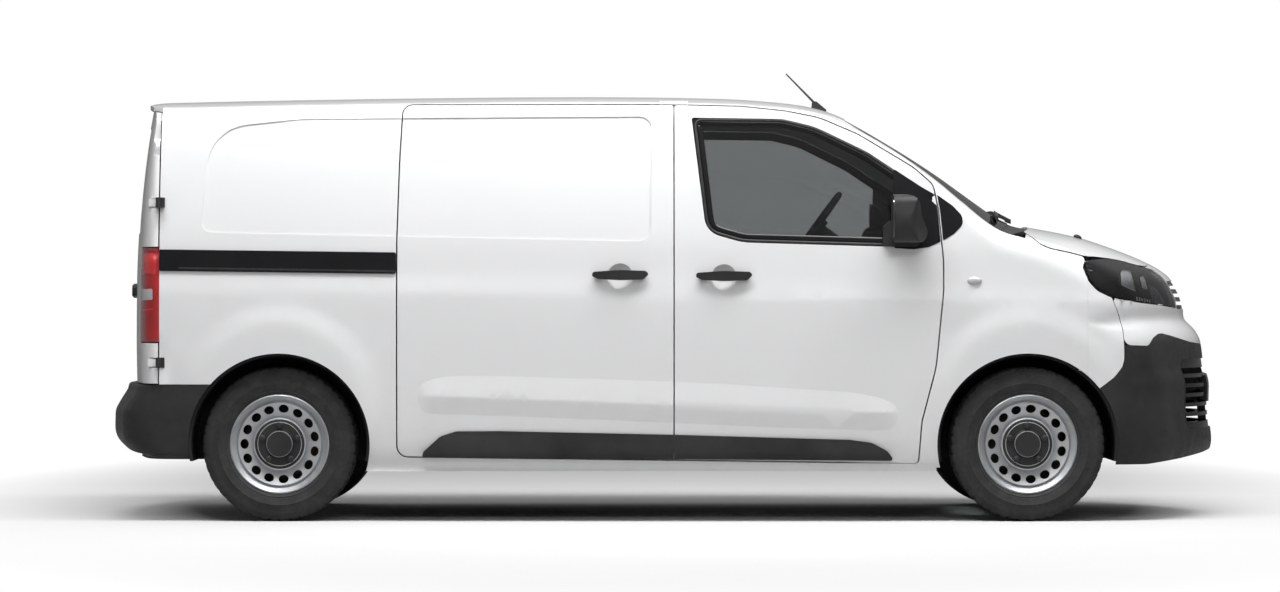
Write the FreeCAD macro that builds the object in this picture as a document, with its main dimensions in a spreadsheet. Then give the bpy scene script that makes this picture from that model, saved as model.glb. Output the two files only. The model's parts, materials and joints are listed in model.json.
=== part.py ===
import FreeCAD, Part
import Sketcher
import math
import os
import re
from FreeCAD import Vector, Placement, Rotation

# Panel van, medium length: whole vehicle standing as parked.
# X forward, Y to the left, Z up, origin on the ground at the middle of the length.

doc = FreeCAD.newDocument("PanelVan")
sheet = doc.addObject("Spreadsheet::Sheet", "Sizes")

SIZES = [
    ("wheelbase", 3275, "front axle to rear axle"),
    ("front_overhang", 908, "front axle to foremost point of the bumper"),
    ("rear_overhang", 800, "rear axle to rearmost point of the bumper"),
    ("body_width", 1920, "over the wheel arch flares"),
    ("roof_height", 1891, "ground to the crown of the roof"),
    ("cant_height", 1827, "top shut line of the side doors"),
    ("belt_height", 1204, "lower edge of the side windows"),
    ("crease_height", 985, "body line along the side, amidships"),
    ("sill_height", 272, "lower shut line of the side doors"),
    ("skirt_height", 236, "lowest edge of the body side"),
    ("rake", 0.012, "fall of the body lines towards the nose"),
    ("tumblehome", 160, "lean of the body side from the crease to the cant rail"),
    ("sill_tuck", 44, "turn-in of the body side at the skirt"),
    ("flare_out", 12, "swell of the body side round the wheels"),
    ("flare_reach", 461, "radius of the swell"),
    ("flare_lift", 165, "centre of the swell above the wheel centre"),
    ("flare_blend", 105, "width over which the swell rises"),
    ("front_taper", 62, "narrowing of the plan towards the nose"),
    ("rear_taper", 22, "narrowing of the plan towards the tail"),
    ("nose_bow", 262, "sweep-back of the nose in plan"),
    ("tail_bow", 72, "sweep of the rear doors in plan"),
    ("bumper_bow", 88, "sweep of the rear bumper in plan"),
    ("roof_crown", 52, "rise of the roof across its width"),
    ("wall", 60, "body side, outer skin to inner lining"),
    ("door_depth", 92, "thickness of a cab door below its window"),
    ("door_foot", 40, "thickness of a cab door over the sill"),
    ("frame_depth", 42, "thickness of a cab door's window frame"),
    ("roof_depth", 34, "roof skin to headlining"),
    ("carrier_depth", 34, "depth of the front-end carrier behind the bumper skin"),
    ("skin", 24, "thickness of wings, bonnet and bumper walls"),
    ("shut_gap", 6, "gap round every opening panel"),
    ("fit", 0.3, "clearance between pieces that rest on each other"),
    ("glass_thickness", 5, "window glass"),
    ("glass_inset", 4, "window glass below the body surface"),
    ("ridge_height", 10, "lower door ridge, out from the skin"),
    ("moulding_depth", 26, "black foot moulding, out from the skin"),
    ("handle_reach", 36, "door handle bar, out from the skin"),
    ("cup_radius", 56, "dish behind each handle"),
    ("cup_depth", 20, "depth of that dish"),
    ("hinge_radius", 11, "knuckles of the rear door hinges"),
    ("hinge_high", 1395, "upper rear door hinge above the ground"),
    ("hinge_low", 695, "lower rear door hinge above the ground"),
    ("press_depth", 5, "window-shaped pressings in the load-space sides"),
    ("cant_reach", 690, "middle of the roof to the roof ditch"),
    ("arch_radius", 397, "wheel arch opening"),
    ("arch_wall", 12, "wheel arch liner"),
    ("liner_front", 500, "inner wall of the front arch liner from the middle"),
    ("liner_rear", 640, "inner wall of the rear arch liner from the middle"),
    ("b_line", 36, "shut line between cab door and sliding door"),
    ("slide_depth", 49, "thickness of the sliding door"),
    ("slide_rear", -1176, "rear shut line of the sliding door"),
    ("tail_line", -2217, "shut line between body side and rear doors"),
    ("door_front", 1214, "foremost point of the cab door"),
    ("tail_top", 1806, "top shut line of the rear doors"),
    ("tail_foot", 604, "bottom shut line of the rear doors"),
    ("tail_depth", 46, "thickness of the rear doors"),
    ("roof_lip", 14, "thickness of the roof edge over the rear doors"),
    ("bumper_top", 598, "top of the rear bumper"),
    ("bumper_depth", 90, "rear bumper and its beam, front to back"),
    ("lamp_top", 1196, "top of the tail lamp"),
    ("lamp_foot", 786, "bottom of the tail lamp"),
    ("lamp_reach", 168, "reach of the tail lamp from the rear door hinge line"),
    ("rail_top", 1190, "top of the sliding door rail cover at its rear end"),
    ("rail_height", 94, "height of the rail cover"),
    ("rail_depth", 7, "rail cover standing proud of the body side"),
    ("floor_top", 560, "load floor above the ground"),
    ("cab_floor", 440, "cab floor above the ground"),
    ("floor_depth", 60, "thickness of the floor"),
    ("sill_inner", 790, "inner face of the sill from the middle"),
    ("sill_outer", 838, "outer face of the sill beam from the middle"),
    ("firewall", 1330, "cab side of the firewall"),
    ("bulkhead_x", -78, "rear face of the bulkhead behind the seats"),
    ("bulkhead_depth", 34, "thickness of the bulkhead"),
    ("tyre_radius", 338, "tyre standing on the ground"),
    ("tyre_width", 215, "tyre section width"),
    ("track_front", 1614, "distance between the front tyre middles"),
    ("track_rear", 1600, "distance between the rear tyre middles"),
    ("rim_radius", 218, "rim edge"),
    ("rim_bead", 200, "bead seat of the tyre"),
    ("rim_wall", 9, "metal of the wheel"),
    ("vent_count", 15, "holes round the wheel disc"),
    ("vent_ring", 155, "radius of the ring of holes"),
    ("vent_length", 44, "hole measured round the ring"),
    ("vent_height", 36, "hole measured along the radius"),
    ("cap_radius", 110, "black hub cover"),
    ("cap_centre", 56, "raised middle of the hub cover"),
    ("steer_offset", 60, "steering axis inboard of the tyre middle"),
    ("axle_radius", 30, "rear axle tube"),
    ("steering_radius", 185, "steering wheel, middle of the rim"),
    ("steering_tube", 14, "radius of the steering wheel rim section"),
    ("driver_y", 430, "driver's seat from the middle"),
    ("mirror_reach", 1102, "outermost point of the door mirrors from the middle"),
    ("antenna_tip", 2007, "tip of the roof antenna above the ground"),
]
for row, (alias, value, note) in enumerate(SIZES, 1):
    sheet.set("A%d" % row, note)
    sheet.set("B%d" % row, str(value))
    sheet.setAlias("B%d" % row, alias)
doc.recompute()
v = sheet

FRONT_X = (v.wheelbase + v.rear_overhang - v.front_overhang) / 2
REAR_X = FRONT_X - v.wheelbase
NOSE_X = FRONT_X + v.front_overhang
TAIL_X = REAR_X - v.rear_overhang
SIDE = v.body_width / 2 - v.flare_out
FX = "((Sizes.wheelbase + Sizes.rear_overhang - Sizes.front_overhang) / 2)"
RX = "((Sizes.rear_overhang - Sizes.front_overhang - Sizes.wheelbase) / 2)"
FAR = 1400
BOW_REF = 750


# Plain functions for the body surface

def smooth(t):
    t = min(1.0, max(0.0, t))
    return t * t * (3 - 2 * t)


def along(rows, key):
    """Even curve through rows of (key, value), flat where the rows turn back."""
    n = len(rows)
    if key <= rows[0][0]:
        i = 0
    elif key >= rows[-1][0]:
        i = n - 2
    else:
        i = max(k for k in range(n - 1) if rows[k][0] <= key)
    step = [(rows[k + 1][1] - rows[k][1]) / (rows[k + 1][0] - rows[k][0]) for k in range(n - 1)]

    def tangent(k):
        if k == 0:
            return step[0]
        if k == n - 1:
            return step[-1]
        a, b = step[k - 1], step[k]
        return 0.0 if a * b <= 0 else 2 * a * b / (a + b)

    width = rows[i + 1][0] - rows[i][0]
    t = min(1.0, max(0.0, (key - rows[i][0]) / width))
    m0, m1 = tangent(i) * width, tangent(i + 1) * width
    t2, t3 = t * t, t * t * t
    return ((2 * t3 - 3 * t2 + 1) * rows[i][1] + (t3 - 2 * t2 + t) * m0
            + (3 * t2 - 2 * t3) * rows[i + 1][1] + (t3 - t2) * m1)


SIDE_LEAN = [
    (v.skirt_height, v.sill_tuck),
    (v.sill_height + 20, 0.62 * v.sill_tuck),
    (v.sill_height + 150, 0.3 * v.sill_tuck),
    (v.crease_height - 340, 0.1 * v.sill_tuck),
    (v.crease_height - 120, 1),
    (v.crease_height, 0),
    (v.crease_height + 30, 5),
    (v.belt_height - 110, 12),
    (v.belt_height, 0.12 * v.tumblehome),
    (v.belt_height + 200, 0.30 * v.tumblehome),
    (v.belt_height + 400, 0.56 * v.tumblehome),
    (v.cant_height - 70, 0.85 * v.tumblehome),
    (v.cant_height, v.tumblehome),
    (v.roof_height + 60, 1.5 * v.tumblehome),
]


def flare(x, z):
    """Swell of the side round each wheel, from 0 to 1."""
    best = 0.0
    for wheel in (FRONT_X, REAR_X):
        away = math.hypot(x - wheel, z - v.tyre_radius - v.flare_lift)
        best = max(best, smooth((v.flare_reach - away) / v.flare_blend))
    return best


def half_width(x, z):
    """Distance of the outer side skin from the middle plane."""
    level = z + v.rake * x
    lean = along(SIDE_LEAN, level)
    front = max(0.0, (x - 700) / (NOSE_X - 700)) ** 2
    rear = max(0.0, (-1200 - x) / (-1200 - TAIL_X)) ** 2
    upper = 1 + 0.7 * smooth((level - v.belt_height) / 500)
    taper = v.front_taper * front * upper + v.rear_taper * rear
    return SIDE - lean - taper + v.flare_out * flare(x, z)


# Centre line of roof, windscreen, bonnet and nose:
# x, z, sweep-back in plan and drop at BOW_REF from the middle, corner rounding
ROOF = v.roof_height
COWL_Z = 1300
BOW = v.nose_bow
PROFILE = [
    (TAIL_X + 150, ROOF - 54, 0, 0.9 * v.roof_crown, 60),
    (TAIL_X + 205, ROOF - 32, 0, 0.9 * v.roof_crown, 65),
    (TAIL_X + 380, ROOF - 24, 0, v.roof_crown, 70),
    (TAIL_X + 840, ROOF - 14, 0, v.roof_crown, 72),
    (TAIL_X + 1520, ROOF - 4, 0, v.roof_crown, 72),
    (TAIL_X + 2190, ROOF, 0, v.roof_crown, 72),
    (FRONT_X - 1330, ROOF - 8, 0, v.roof_crown, 72),
    (FRONT_X - 1090, ROOF - 24, 4, 0.97 * v.roof_crown, 68),
    (FRONT_X - 930, ROOF - 46, 12, 0.9 * v.roof_crown, 62),
    (FRONT_X - 795, ROOF - 90, 26, 0.76 * v.roof_crown, 54),
    (FRONT_X - 537, COWL_Z + 354, 46, 22, 42),
    (FRONT_X - 358, COWL_Z + 241, 62, 18, 42),
    (FRONT_X - 233, COWL_Z + 153, 74, 18, 50),
    (FRONT_X - 90, COWL_Z + 54, 90, 20, 62),
    (FRONT_X - 10, COWL_Z + 16, 100, 25, 72),
    (FRONT_X + 76, COWL_Z - 2, 0.45 * BOW, 30, 80),
    (FRONT_X + 216, COWL_Z - 28, 0.55 * BOW, 30, 88),
    (FRONT_X + 356, COWL_Z - 63, 0.66 * BOW, 28, 95),
    (FRONT_X + 582, COWL_Z - 148, 0.82 * BOW, 22, 105),
    (FRONT_X + 702, COWL_Z - 217, 0.9 * BOW, 14, 115),
    (FRONT_X + 758, COWL_Z - 296, 0.95 * BOW, 6, 122),
    (FRONT_X + 778, COWL_Z - 360, 0.97 * BOW, 2, 126),
    (FRONT_X + 784, COWL_Z - 415, 0.99 * BOW, 0, 130),
    (NOSE_X - 80, COWL_Z - 462, BOW, 0, 130),
    (NOSE_X - 52, COWL_Z - 512, BOW, 0, 130),
    (NOSE_X - 34, COWL_Z - 630, BOW, 0, 130),
    (NOSE_X - 14, COWL_Z - 700, BOW, 0, 130),
    (NOSE_X - 14, COWL_Z - 790, BOW, 0, 130),
    (NOSE_X - 8, COWL_Z - 880, BOW, 0, 130),
    (NOSE_X, COWL_Z - 960, BOW, 0, 130),
    (NOSE_X - 8, COWL_Z - 1005, BOW, 0, 130),
    (NOSE_X - 36, COWL_Z - 1052, BOW, 0, 130),
]
STATION = [0.0]
for before, after in zip(PROFILE, PROFILE[1:]):
    STATION.append(STATION[-1] + math.hypot(after[0] - before[0], after[1] - before[1]))
LANES = [[(STATION[k], PROFILE[k][lane]) for k in range(len(PROFILE))] for lane in range(5)]


def spline_lane(lane, s):
    """Smooth curve through one column of the centre line."""
    rows = LANES[lane]
    n = len(rows)
    i = n - 2
    for k in range(n - 1):
        if s < rows[k + 1][0]:
            i = k
            break

    def slope(k):
        a = max(0, k - 1)
        b = min(n - 1, k + 1)
        return (rows[b][1] - rows[a][1]) / (rows[b][0] - rows[a][0])

    width = rows[i + 1][0] - rows[i][0]
    t = (s - rows[i][0]) / width
    m0, m1 = slope(i) * width, slope(i + 1) * width
    t2, t3 = t * t, t * t * t
    return ((2 * t3 - 3 * t2 + 1) * rows[i][1] + (t3 - 2 * t2 + t) * m0
            + (3 * t2 - 2 * t3) * rows[i + 1][1] + (t3 - t2) * m1)


def station_at(lane, value, low=0, high=None):
    """Distance along the centre line where its x (lane 0) or z (lane 1) has a value."""
    a = STATION[low]
    b = STATION[high if high is not None else -1]
    rising = spline_lane(lane, b) > spline_lane(lane, a)
    for _ in range(50):
        mid = (a + b) / 2
        if (spline_lane(lane, mid) < value) == rising:
            a = mid
        else:
            b = mid
    return (a + b) / 2


NOSE_ROW = 22
SKIRT_RUN = 380


def at_x(x):
    return station_at(0, x, 0, NOSE_ROW)


def at_z(z):
    return station_at(1, z, 6, None)


def top_point(s, y, inset):
    q = (y / BOW_REF) ** 2
    step = 2.0
    dx = spline_lane(0, s + step) - spline_lane(0, s - step)
    dz = spline_lane(1, s + step) - spline_lane(1, s - step)
    length = math.hypot(dx, dz)
    nx, nz = dz / length, -dx / length
    x = spline_lane(0, s) - spline_lane(2, s) * q + nx * inset
    z = spline_lane(1, s) - spline_lane(3, s) * q + nz * inset
    return x, z, abs(dx) / length, abs(dz) / length


def blend(p0, p1, p2, count):
    out = []
    for k in range(1, count + 1):
        t = k / (count + 1)
        out.append(p0 * ((1 - t) ** 2) + p1 * (2 * t * (1 - t)) + p2 * (t * t))
    return out


def even_points(points, count):
    """The same path with its points spread evenly along it."""
    run = [0.0]
    for a, b in zip(points, points[1:]):
        run.append(run[-1] + (b - a).Length)
    out = []
    k = 0
    for i in range(count):
        goal = run[-1] * i / (count - 1)
        while k < len(points) - 2 and run[k + 1] < goal:
            k += 1
        t = (goal - run[k]) / (run[k + 1] - run[k])
        out.append(points[k] + (points[k + 1] - points[k]) * t)
    return out


def section(s, way, top_inset, side_inset, start, end, count):
    """Points of one body section from the middle over the corner and along the side.

    way is down (section runs down the side to z = end) or back (to x = end)."""
    low, high = 200.0, 1200.0
    for _ in range(40):
        y = (low + high) / 2
        x, z, cos, sin = top_point(s, y, top_inset)
        if y < half_width(x, z) - side_inset(z):
            low = y
        else:
            high = y
    corner_y = low
    x, z, cos, sin = top_point(s, corner_y, top_inset)
    rounding = max(12.0, spline_lane(4, s) - max(top_inset, side_inset(z)))

    def side(e):
        if way == "down":
            return Vector(x, half_width(x, z - e) - side_inset(z - e), z - e)
        return Vector(x - e, half_width(x - e, z) - side_inset(z), z)

    reach = rounding / max(0.3, cos if way == "down" else sin)
    last = SKIRT_RUN if end is None else (z - end if way == "down" else x - end)
    reach = min(reach, 0.8 * last)
    inner = corner_y - rounding
    n_top, n_round, n_side = 12, 14, 40
    points = []
    for k in range(n_top):
        y = start + (inner - start) * k / (n_top - 1)
        px, pz, _, _ = top_point(s, y, top_inset)
        points.append(Vector(px, y, pz))
    points += blend(points[-1], Vector(x, corner_y, z), side(reach), n_round)
    for k in range(n_side):
        points.append(side(reach + (last - reach) * k / (n_side - 1)))
    return even_points(points, count)


def flip(p):
    return Vector(p.x, -p.y, p.z)


def surface(rows):
    patch = Part.BSplineSurface()
    patch.interpolate(rows)
    return patch


def slab(outer_rows, inner_rows):
    """Closed solid between an outer and an inner patch."""
    outer = surface(outer_rows)
    inner = surface(inner_rows)
    faces = [outer.toShape(), inner.toShape()]
    u0, u1, v0, v1 = outer.bounds()
    a0, a1, b0, b1 = inner.bounds()
    rims = ((outer.uIso(u0), inner.uIso(a0)), (outer.uIso(u1), inner.uIso(a1)),
            (outer.vIso(v0), inner.vIso(b0)), (outer.vIso(v1), inner.vIso(b1)))
    for near, far in rims:
        faces.append(Part.makeRuledSurface(near.toShape(), far.toShape(), 1))
    shell = Part.makeCompound(faces)
    shell.sewShape(0.01)
    solid = Part.Solid(shell.Shells[0] if shell.Shells else shell)
    if solid.Volume < 0:
        solid.reverse()
    return solid


def steps(a, b, count):
    return [a + (b - a) * k / (count - 1) for k in range(count)]


def body_slab(stations, way, top, side, start, end, count, both):
    """Solid of body skin over a run of stations; top and side hold the two insets."""
    rows = []
    for face in (0, 1):
        grid = []
        for s in stations:
            points = section(s, way, top[face], side[face], start, end, count)
            if both:
                points = [flip(p) for p in reversed(points[1:])] + points
            grid.append(points)
        rows.append(grid)
    return slab(rows[0], rows[1])


def side_slab(x0, x1, z0, z1, out, inn, nx, nz):
    """Solid of the left body side between two insets over a rectangle."""
    grids = []
    for inset in (out, inn):
        grids.append([[Vector(x, half_width(x, z) - inset(z), z) for z in steps(z0, z1, nz)]
                      for x in steps(x0, x1, nx)])
    return slab(grids[0], grids[1])


def even(value):
    return lambda z: value


# Outlines and prisms

def outline(points, plane):
    """Closed wire through corners (a, b) or (a, b, radius)."""
    def place(a, b):
        if plane == "XZ":
            return Vector(a, 0, b)
        if plane == "XY":
            return Vector(a, b, 0)
        return Vector(0, a, b)

    n = len(points)
    arcs = []
    for i, point in enumerate(points):
        here = Vector(point[0], point[1], 0)
        radius = point[2] if len(point) > 2 else 0
        prev = Vector(points[i - 1][0], points[i - 1][1], 0)
        after = Vector(points[(i + 1) % n][0], points[(i + 1) % n][1], 0)
        a = prev - here
        b = after - here
        room = 0.48 * min(a.Length, b.Length)
        a.normalize()
        b.normalize()
        angle = a.getAngle(b)
        if radius <= 0 or angle > math.pi - 0.01:
            arcs.append((here, here, here))
            continue
        cut = min(room, radius / math.tan(angle / 2))
        radius = cut * math.tan(angle / 2)
        middle = a + b
        middle.normalize()
        far = radius / math.sin(angle / 2) - radius
        arcs.append((here + a * cut, here + middle * far, here + b * cut))
    edges = []
    for i in range(n):
        first, middle, last = arcs[i]
        following = arcs[(i + 1) % n][0]
        if (last - first).Length > 1e-6:
            edges.append(Part.Arc(place(first.x, first.y), place(middle.x, middle.y),
                                  place(last.x, last.y)).toShape())
        if (following - last).Length > 1e-6:
            edges.append(Part.LineSegment(place(last.x, last.y),
                                          place(following.x, following.y)).toShape())
    return Part.Wire(edges)


def prism(points, plane, start, vector):
    face = Part.Face(outline(points, plane))
    face.translate(start)
    return face.extrude(vector)


def side_prism(points, near=350, far=FAR):
    """Prism through the left body side."""
    return prism(points, "XZ", Vector(0, far, 0), Vector(0, near - far, 0))


def grow(points, by):
    """Outline moved outward by a distance, corner by corner."""
    n = len(points)
    area = sum(points[i][0] * points[(i + 1) % n][1] - points[(i + 1) % n][0] * points[i][1]
               for i in range(n))
    turn = 1 if area > 0 else -1
    out = []
    for i in range(n):
        x0, z0 = points[i - 1][0], points[i - 1][1]
        x1, z1 = points[i][0], points[i][1]
        x2, z2 = points[(i + 1) % n][0], points[(i + 1) % n][1]
        l1 = math.hypot(x1 - x0, z1 - z0)
        l2 = math.hypot(x2 - x1, z2 - z1)
        n1 = ((z1 - z0) / l1 * turn, -(x1 - x0) / l1 * turn)
        n2 = ((z2 - z1) / l2 * turn, -(x2 - x1) / l2 * turn)
        k = 1 + n1[0] * n2[0] + n1[1] * n2[1]
        mx, mz = (n1[0] + n2[0]) / k, (n1[1] + n2[1]) / k
        radius = points[i][2] if len(points[i]) > 2 else 0
        cross = (x1 - x0) * (z2 - z1) - (z1 - z0) * (x2 - x1)
        if radius:
            radius = max(1.0, radius + by * (1 if cross * turn > 0 else -1))
        out.append((x1 + mx * by, z1 + mz * by, radius))
    return out


def box(x0, x1, y0, y1, z0, z1):
    return Part.makeBox(x1 - x0, y1 - y0, z1 - z0, Vector(x0, y0, z0))


def cylinder_y(x, z, radius, y0, y1):
    return Part.makeCylinder(radius, y1 - y0, Vector(x, y0, z), Vector(0, 1, 0))


def cylinder_z(x, y, radius, z0, z1):
    return Part.makeCylinder(radius, z1 - z0, Vector(x, y, z0), Vector(0, 0, 1))


def mirrored(shape):
    return shape.mirror(Vector(0, 0, 0), Vector(0, 1, 0))


def clean(shape):
    """One solid as a solid, several as a compound."""
    solids = shape.Solids
    return solids[0] if len(solids) == 1 else Part.makeCompound(solids)


NODES = []


def node(label, shape):
    thing = doc.addObject("Part::Feature", label)
    thing.Label = label
    thing.Shape = clean(shape)
    NODES.append(thing)
    return thing


def both_nodes(name, left_shape, right_shape=None):
    node(name + "_left", left_shape)
    node(name + "_right", mirrored(right_shape if right_shape is not None else left_shape))


# Outlines of the side, seen square on (x forward, z up)
GAP = v.shut_gap
HALF_GAP = GAP / 2
CANT = v.cant_height
BELT = v.belt_height
B_X = v.b_line
DOOR_X = v.door_front


def tilt(x):
    """Drop of the body lines at x."""
    return -v.rake * x


FRONT_DOOR = [
    (B_X + HALF_GAP, v.sill_height + tilt(B_X), 12),
    (B_X + HALF_GAP, CANT, 14),
    (B_X + 300, CANT - 8, 300),
    (DOOR_X - 690, CANT - 28, 300),
    (DOOR_X - 540, CANT - 58, 300),
    (DOOR_X - 370, CANT - 132, 400),
    (DOOR_X - 130, CANT - 278, 300),
    (DOOR_X - 46, CANT - 352, 60),
    (DOOR_X - 24, CANT - 462, 200),
    (DOOR_X - HALF_GAP, CANT - 690, 300),
    (DOOR_X - HALF_GAP, CANT - 815, 300),
    (DOOR_X - 36, CANT - 1150, 400),
    (DOOR_X - 98, CANT - 1390, 200),
    (DOOR_X - 112, v.sill_height + tilt(DOOR_X), 16),
]
SLIDE_X = v.slide_rear
SLIDE_DOOR = [
    (B_X - HALF_GAP, v.sill_height + tilt(B_X), 10),
    (B_X - HALF_GAP, CANT, 10),
    (SLIDE_X + 24, CANT - 1, 42),
    (SLIDE_X + 12, CANT - 260, 900),
    (SLIDE_X + HALF_GAP, CANT - 600, 900),
    (SLIDE_X + HALF_GAP, v.sill_height + tilt(SLIDE_X), 46),
]

# Window of the cab door: black edge outline, and the glass inside it
WINDOW = [
    (B_X + 78, BELT + 560, 60),
    (B_X + 84, CANT - 56, 34),
    (DOOR_X - 700, CANT - 62, 200),
    (DOOR_X - 560, CANT - 96, 300),
    (DOOR_X - 330, CANT - 208, 400),
    (DOOR_X - 96, CANT - 366, 50),
    (DOOR_X - 96, BELT + 20, 40),
    (DOOR_X - 180, BELT - 4, 60),
    (B_X + 300, BELT + 16, 300),
    (B_X + 140, BELT + 62, 90),
]


def door_inset(z):
    return along([(v.sill_height + 60, v.door_foot), (v.cab_floor + 40, v.door_depth),
                  (BELT - 60, v.door_depth), (BELT + 10, v.frame_depth)], z)


# Middle of each pillar's inner edge beside the windscreen, in plan
PILLAR = [
    (FRONT_X - 795, v.cant_reach), (FRONT_X - 690, v.cant_reach + 30), (FRONT_X - 537, v.cant_reach + 72),
    (FRONT_X - 358, v.cant_reach + 106), (FRONT_X - 233, v.cant_reach + 124), (FRONT_X - 100, v.cant_reach + 138),
]
SCREEN_TOP = FRONT_X - 772
SCREEN_FOOT = FRONT_X - 26


def screen_outline(by):
    side = [(PILLAR[0][0] - by, PILLAR[0][1] + by)] + [(x, y + by) for x, y in PILLAR[1:]]
    lower = [(SCREEN_FOOT - 84, PILLAR[-1][1] + 14 + by), (SCREEN_FOOT - 20 + by, 400), (SCREEN_FOOT + by, 0)]
    left = [(SCREEN_TOP - 2 - by, 0), (SCREEN_TOP - 4 - by, 350), (SCREEN_TOP - 12 - by, side[0][1] - 120)] + side + lower
    right = [(x, -y) for x, y in reversed(left[1:-1])]
    return left + right


def vertical(points, z0, z1):
    return prism(points, "XY", Vector(0, 0, z0), Vector(0, 0, z1 - z0))


TOP_Z = v.roof_height + 120

# Joint between pillar and wing, then the side view outline of the wing
JOINT = [(FRONT_X - 262, COWL_Z + 128), (FRONT_X - 322, COWL_Z + 62), (FRONT_X - 366, COWL_Z),
         (DOOR_X - 24, CANT - 690)]
BONNET_SIDE = [(FRONT_X - 30, COWL_Z - 2), (FRONT_X + 14, COWL_Z - 42, 60), (FRONT_X + 58, COWL_Z - 86, 60),
               (FRONT_X + 102, COWL_Z - 105, 80), (FRONT_X + 190, COWL_Z - 123, 300),
               (FRONT_X + 262, COWL_Z - 141, 200), (FRONT_X + 304, COWL_Z - 142, 100),
               (FRONT_X + 365, COWL_Z - 147, 300), (FRONT_X + 437, COWL_Z - 157, 300),
               (FRONT_X + 527, COWL_Z - 179)]
LAMP = [(FRONT_X + 248, COWL_Z - 187, 26), (FRONT_X + 262, COWL_Z - 158, 30), (FRONT_X + 304, COWL_Z - 142, 40),
        (FRONT_X + 365, COWL_Z - 147, 300), (FRONT_X + 437, COWL_Z - 157, 300), (FRONT_X + 527, COWL_Z - 179, 300),
        (FRONT_X + 614, COWL_Z - 200, 300), (FRONT_X + 722, COWL_Z - 232, 200), (NOSE_X + 60, COWL_Z - 262),
        (NOSE_X + 60, COWL_Z - 364), (FRONT_X + 752, COWL_Z - 372, 300), (FRONT_X + 664, COWL_Z - 360, 300),
        (FRONT_X + 611, COWL_Z - 353, 300), (FRONT_X + 509, COWL_Z - 342, 300), (FRONT_X + 409, COWL_Z - 327, 300),
        (FRONT_X + 344, COWL_Z - 309, 200), (FRONT_X + 309, COWL_Z - 287, 100), (FRONT_X + 273, COWL_Z - 248, 100)]
WING_FRONT = [(FRONT_X + 371, COWL_Z - 322), (FRONT_X + 402, COWL_Z - 397, 300), (FRONT_X + 419, COWL_Z - 462, 200),
              (FRONT_X + 424, COWL_Z - 528, 200), (FRONT_X + 424, COWL_Z - 593, 60), (FRONT_X + 415, COWL_Z - 624, 60),
              (FRONT_X + 380, COWL_Z - 668, 100), (FRONT_X + 320, COWL_Z - 713, 100), (FRONT_X + 240, COWL_Z - 790)]
BLACK_TOP = [(FRONT_X + 424, COWL_Z - 528), (FRONT_X + 537, COWL_Z - 533, 20), (FRONT_X + 560, COWL_Z - 500, 30),
             (FRONT_X + 596, COWL_Z - 476, 40), (FRONT_X + 657, COWL_Z - 490, 200), (FRONT_X + 759, COWL_Z - 518, 300),
             (NOSE_X - 40, COWL_Z - 534, 200), (NOSE_X + 80, COWL_Z - 534)]
LAMP_INNER = 382

# Panel pressings, lower ridge, handle dishes
PANEL = [(TAIL_X + 457, BELT + 60, 45), (TAIL_X + 495, CANT - 105, 190), (TAIL_X + 890, CANT - 62, 600),
         (B_X - 96, CANT - 51, 55), (B_X - 102, BELT + 20, 60)]
recess = side_slab(PANEL[0][0] - 40, PANEL[-1][0] + 60, BELT - 30, CANT - 10, even(-30), even(v.press_depth), 20, 12)
recess = recess.common(side_prism(PANEL))
RIDGE_TOP = [(B_X - 1176, BELT - 646), (B_X - 1141, BELT - 602), (B_X - 1067, BELT - 574), (B_X - 979, BELT - 556),
             (B_X - 848, BELT - 553), (B_X - 498, BELT - 561), (B_X + 113, BELT - 582), (B_X + 550, BELT - 611),
             (B_X + 769, BELT - 626), (B_X + 922, BELT - 661), (B_X + 987, BELT - 689), (B_X + 1031, BELT - 716)]
RIDGE_LOW = [(B_X - 1176, BELT - 652), (B_X - 848, BELT - 661), (B_X - 498, BELT - 674), (B_X, BELT - 694),
             (B_X + 332, BELT - 709), (B_X + 769, BELT - 724), (B_X + 987, BELT - 729), (B_X + 1031, BELT - 732)]
RIDGE_RETURN = 90
RIDGE_TAPER = 140


def ridge():
    """Swell of the lower doors: out from the top line to the lower line, then back into the skin."""
    x0, x1 = RIDGE_TOP[0][0] + 8, RIDGE_TOP[-1][0] - 6
    outer, inner = [], []
    for x in steps(x0, x1, 36):
        swell = smooth((x - x0) / RIDGE_TAPER) * smooth((x1 - x) / RIDGE_TAPER)
        top, low = along(RIDGE_TOP, x), along(RIDGE_LOW, x)
        line = steps(top, low, 11)[:-1] + steps(low, low - RIDGE_RETURN, 9)
        out = steps(0, 1, 11)[:-1] + steps(1, 0, 9)
        outer.append([Vector(x, half_width(x, z) - 1.5 + (v.ridge_height + 1.5) * o * swell, z)
                      for z, o in zip(line, out)])
        inner.append([Vector(x, half_width(x, z) - 12, z) for z in line])
    return slab(outer, inner)


door_ridge = ridge()


def dish(x, z):
    """Ball that leaves the handle dish in the skin."""
    ball = (v.cup_radius ** 2 + v.cup_depth ** 2) / (2 * v.cup_depth)
    return Part.makeSphere(ball, Vector(x, half_width(x, z) + ball - v.cup_depth, z))


DOOR_CUP = (B_X + 218, v.crease_height + 89)
SLIDE_CUP = (B_X - 236, v.crease_height + 93)


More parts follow.
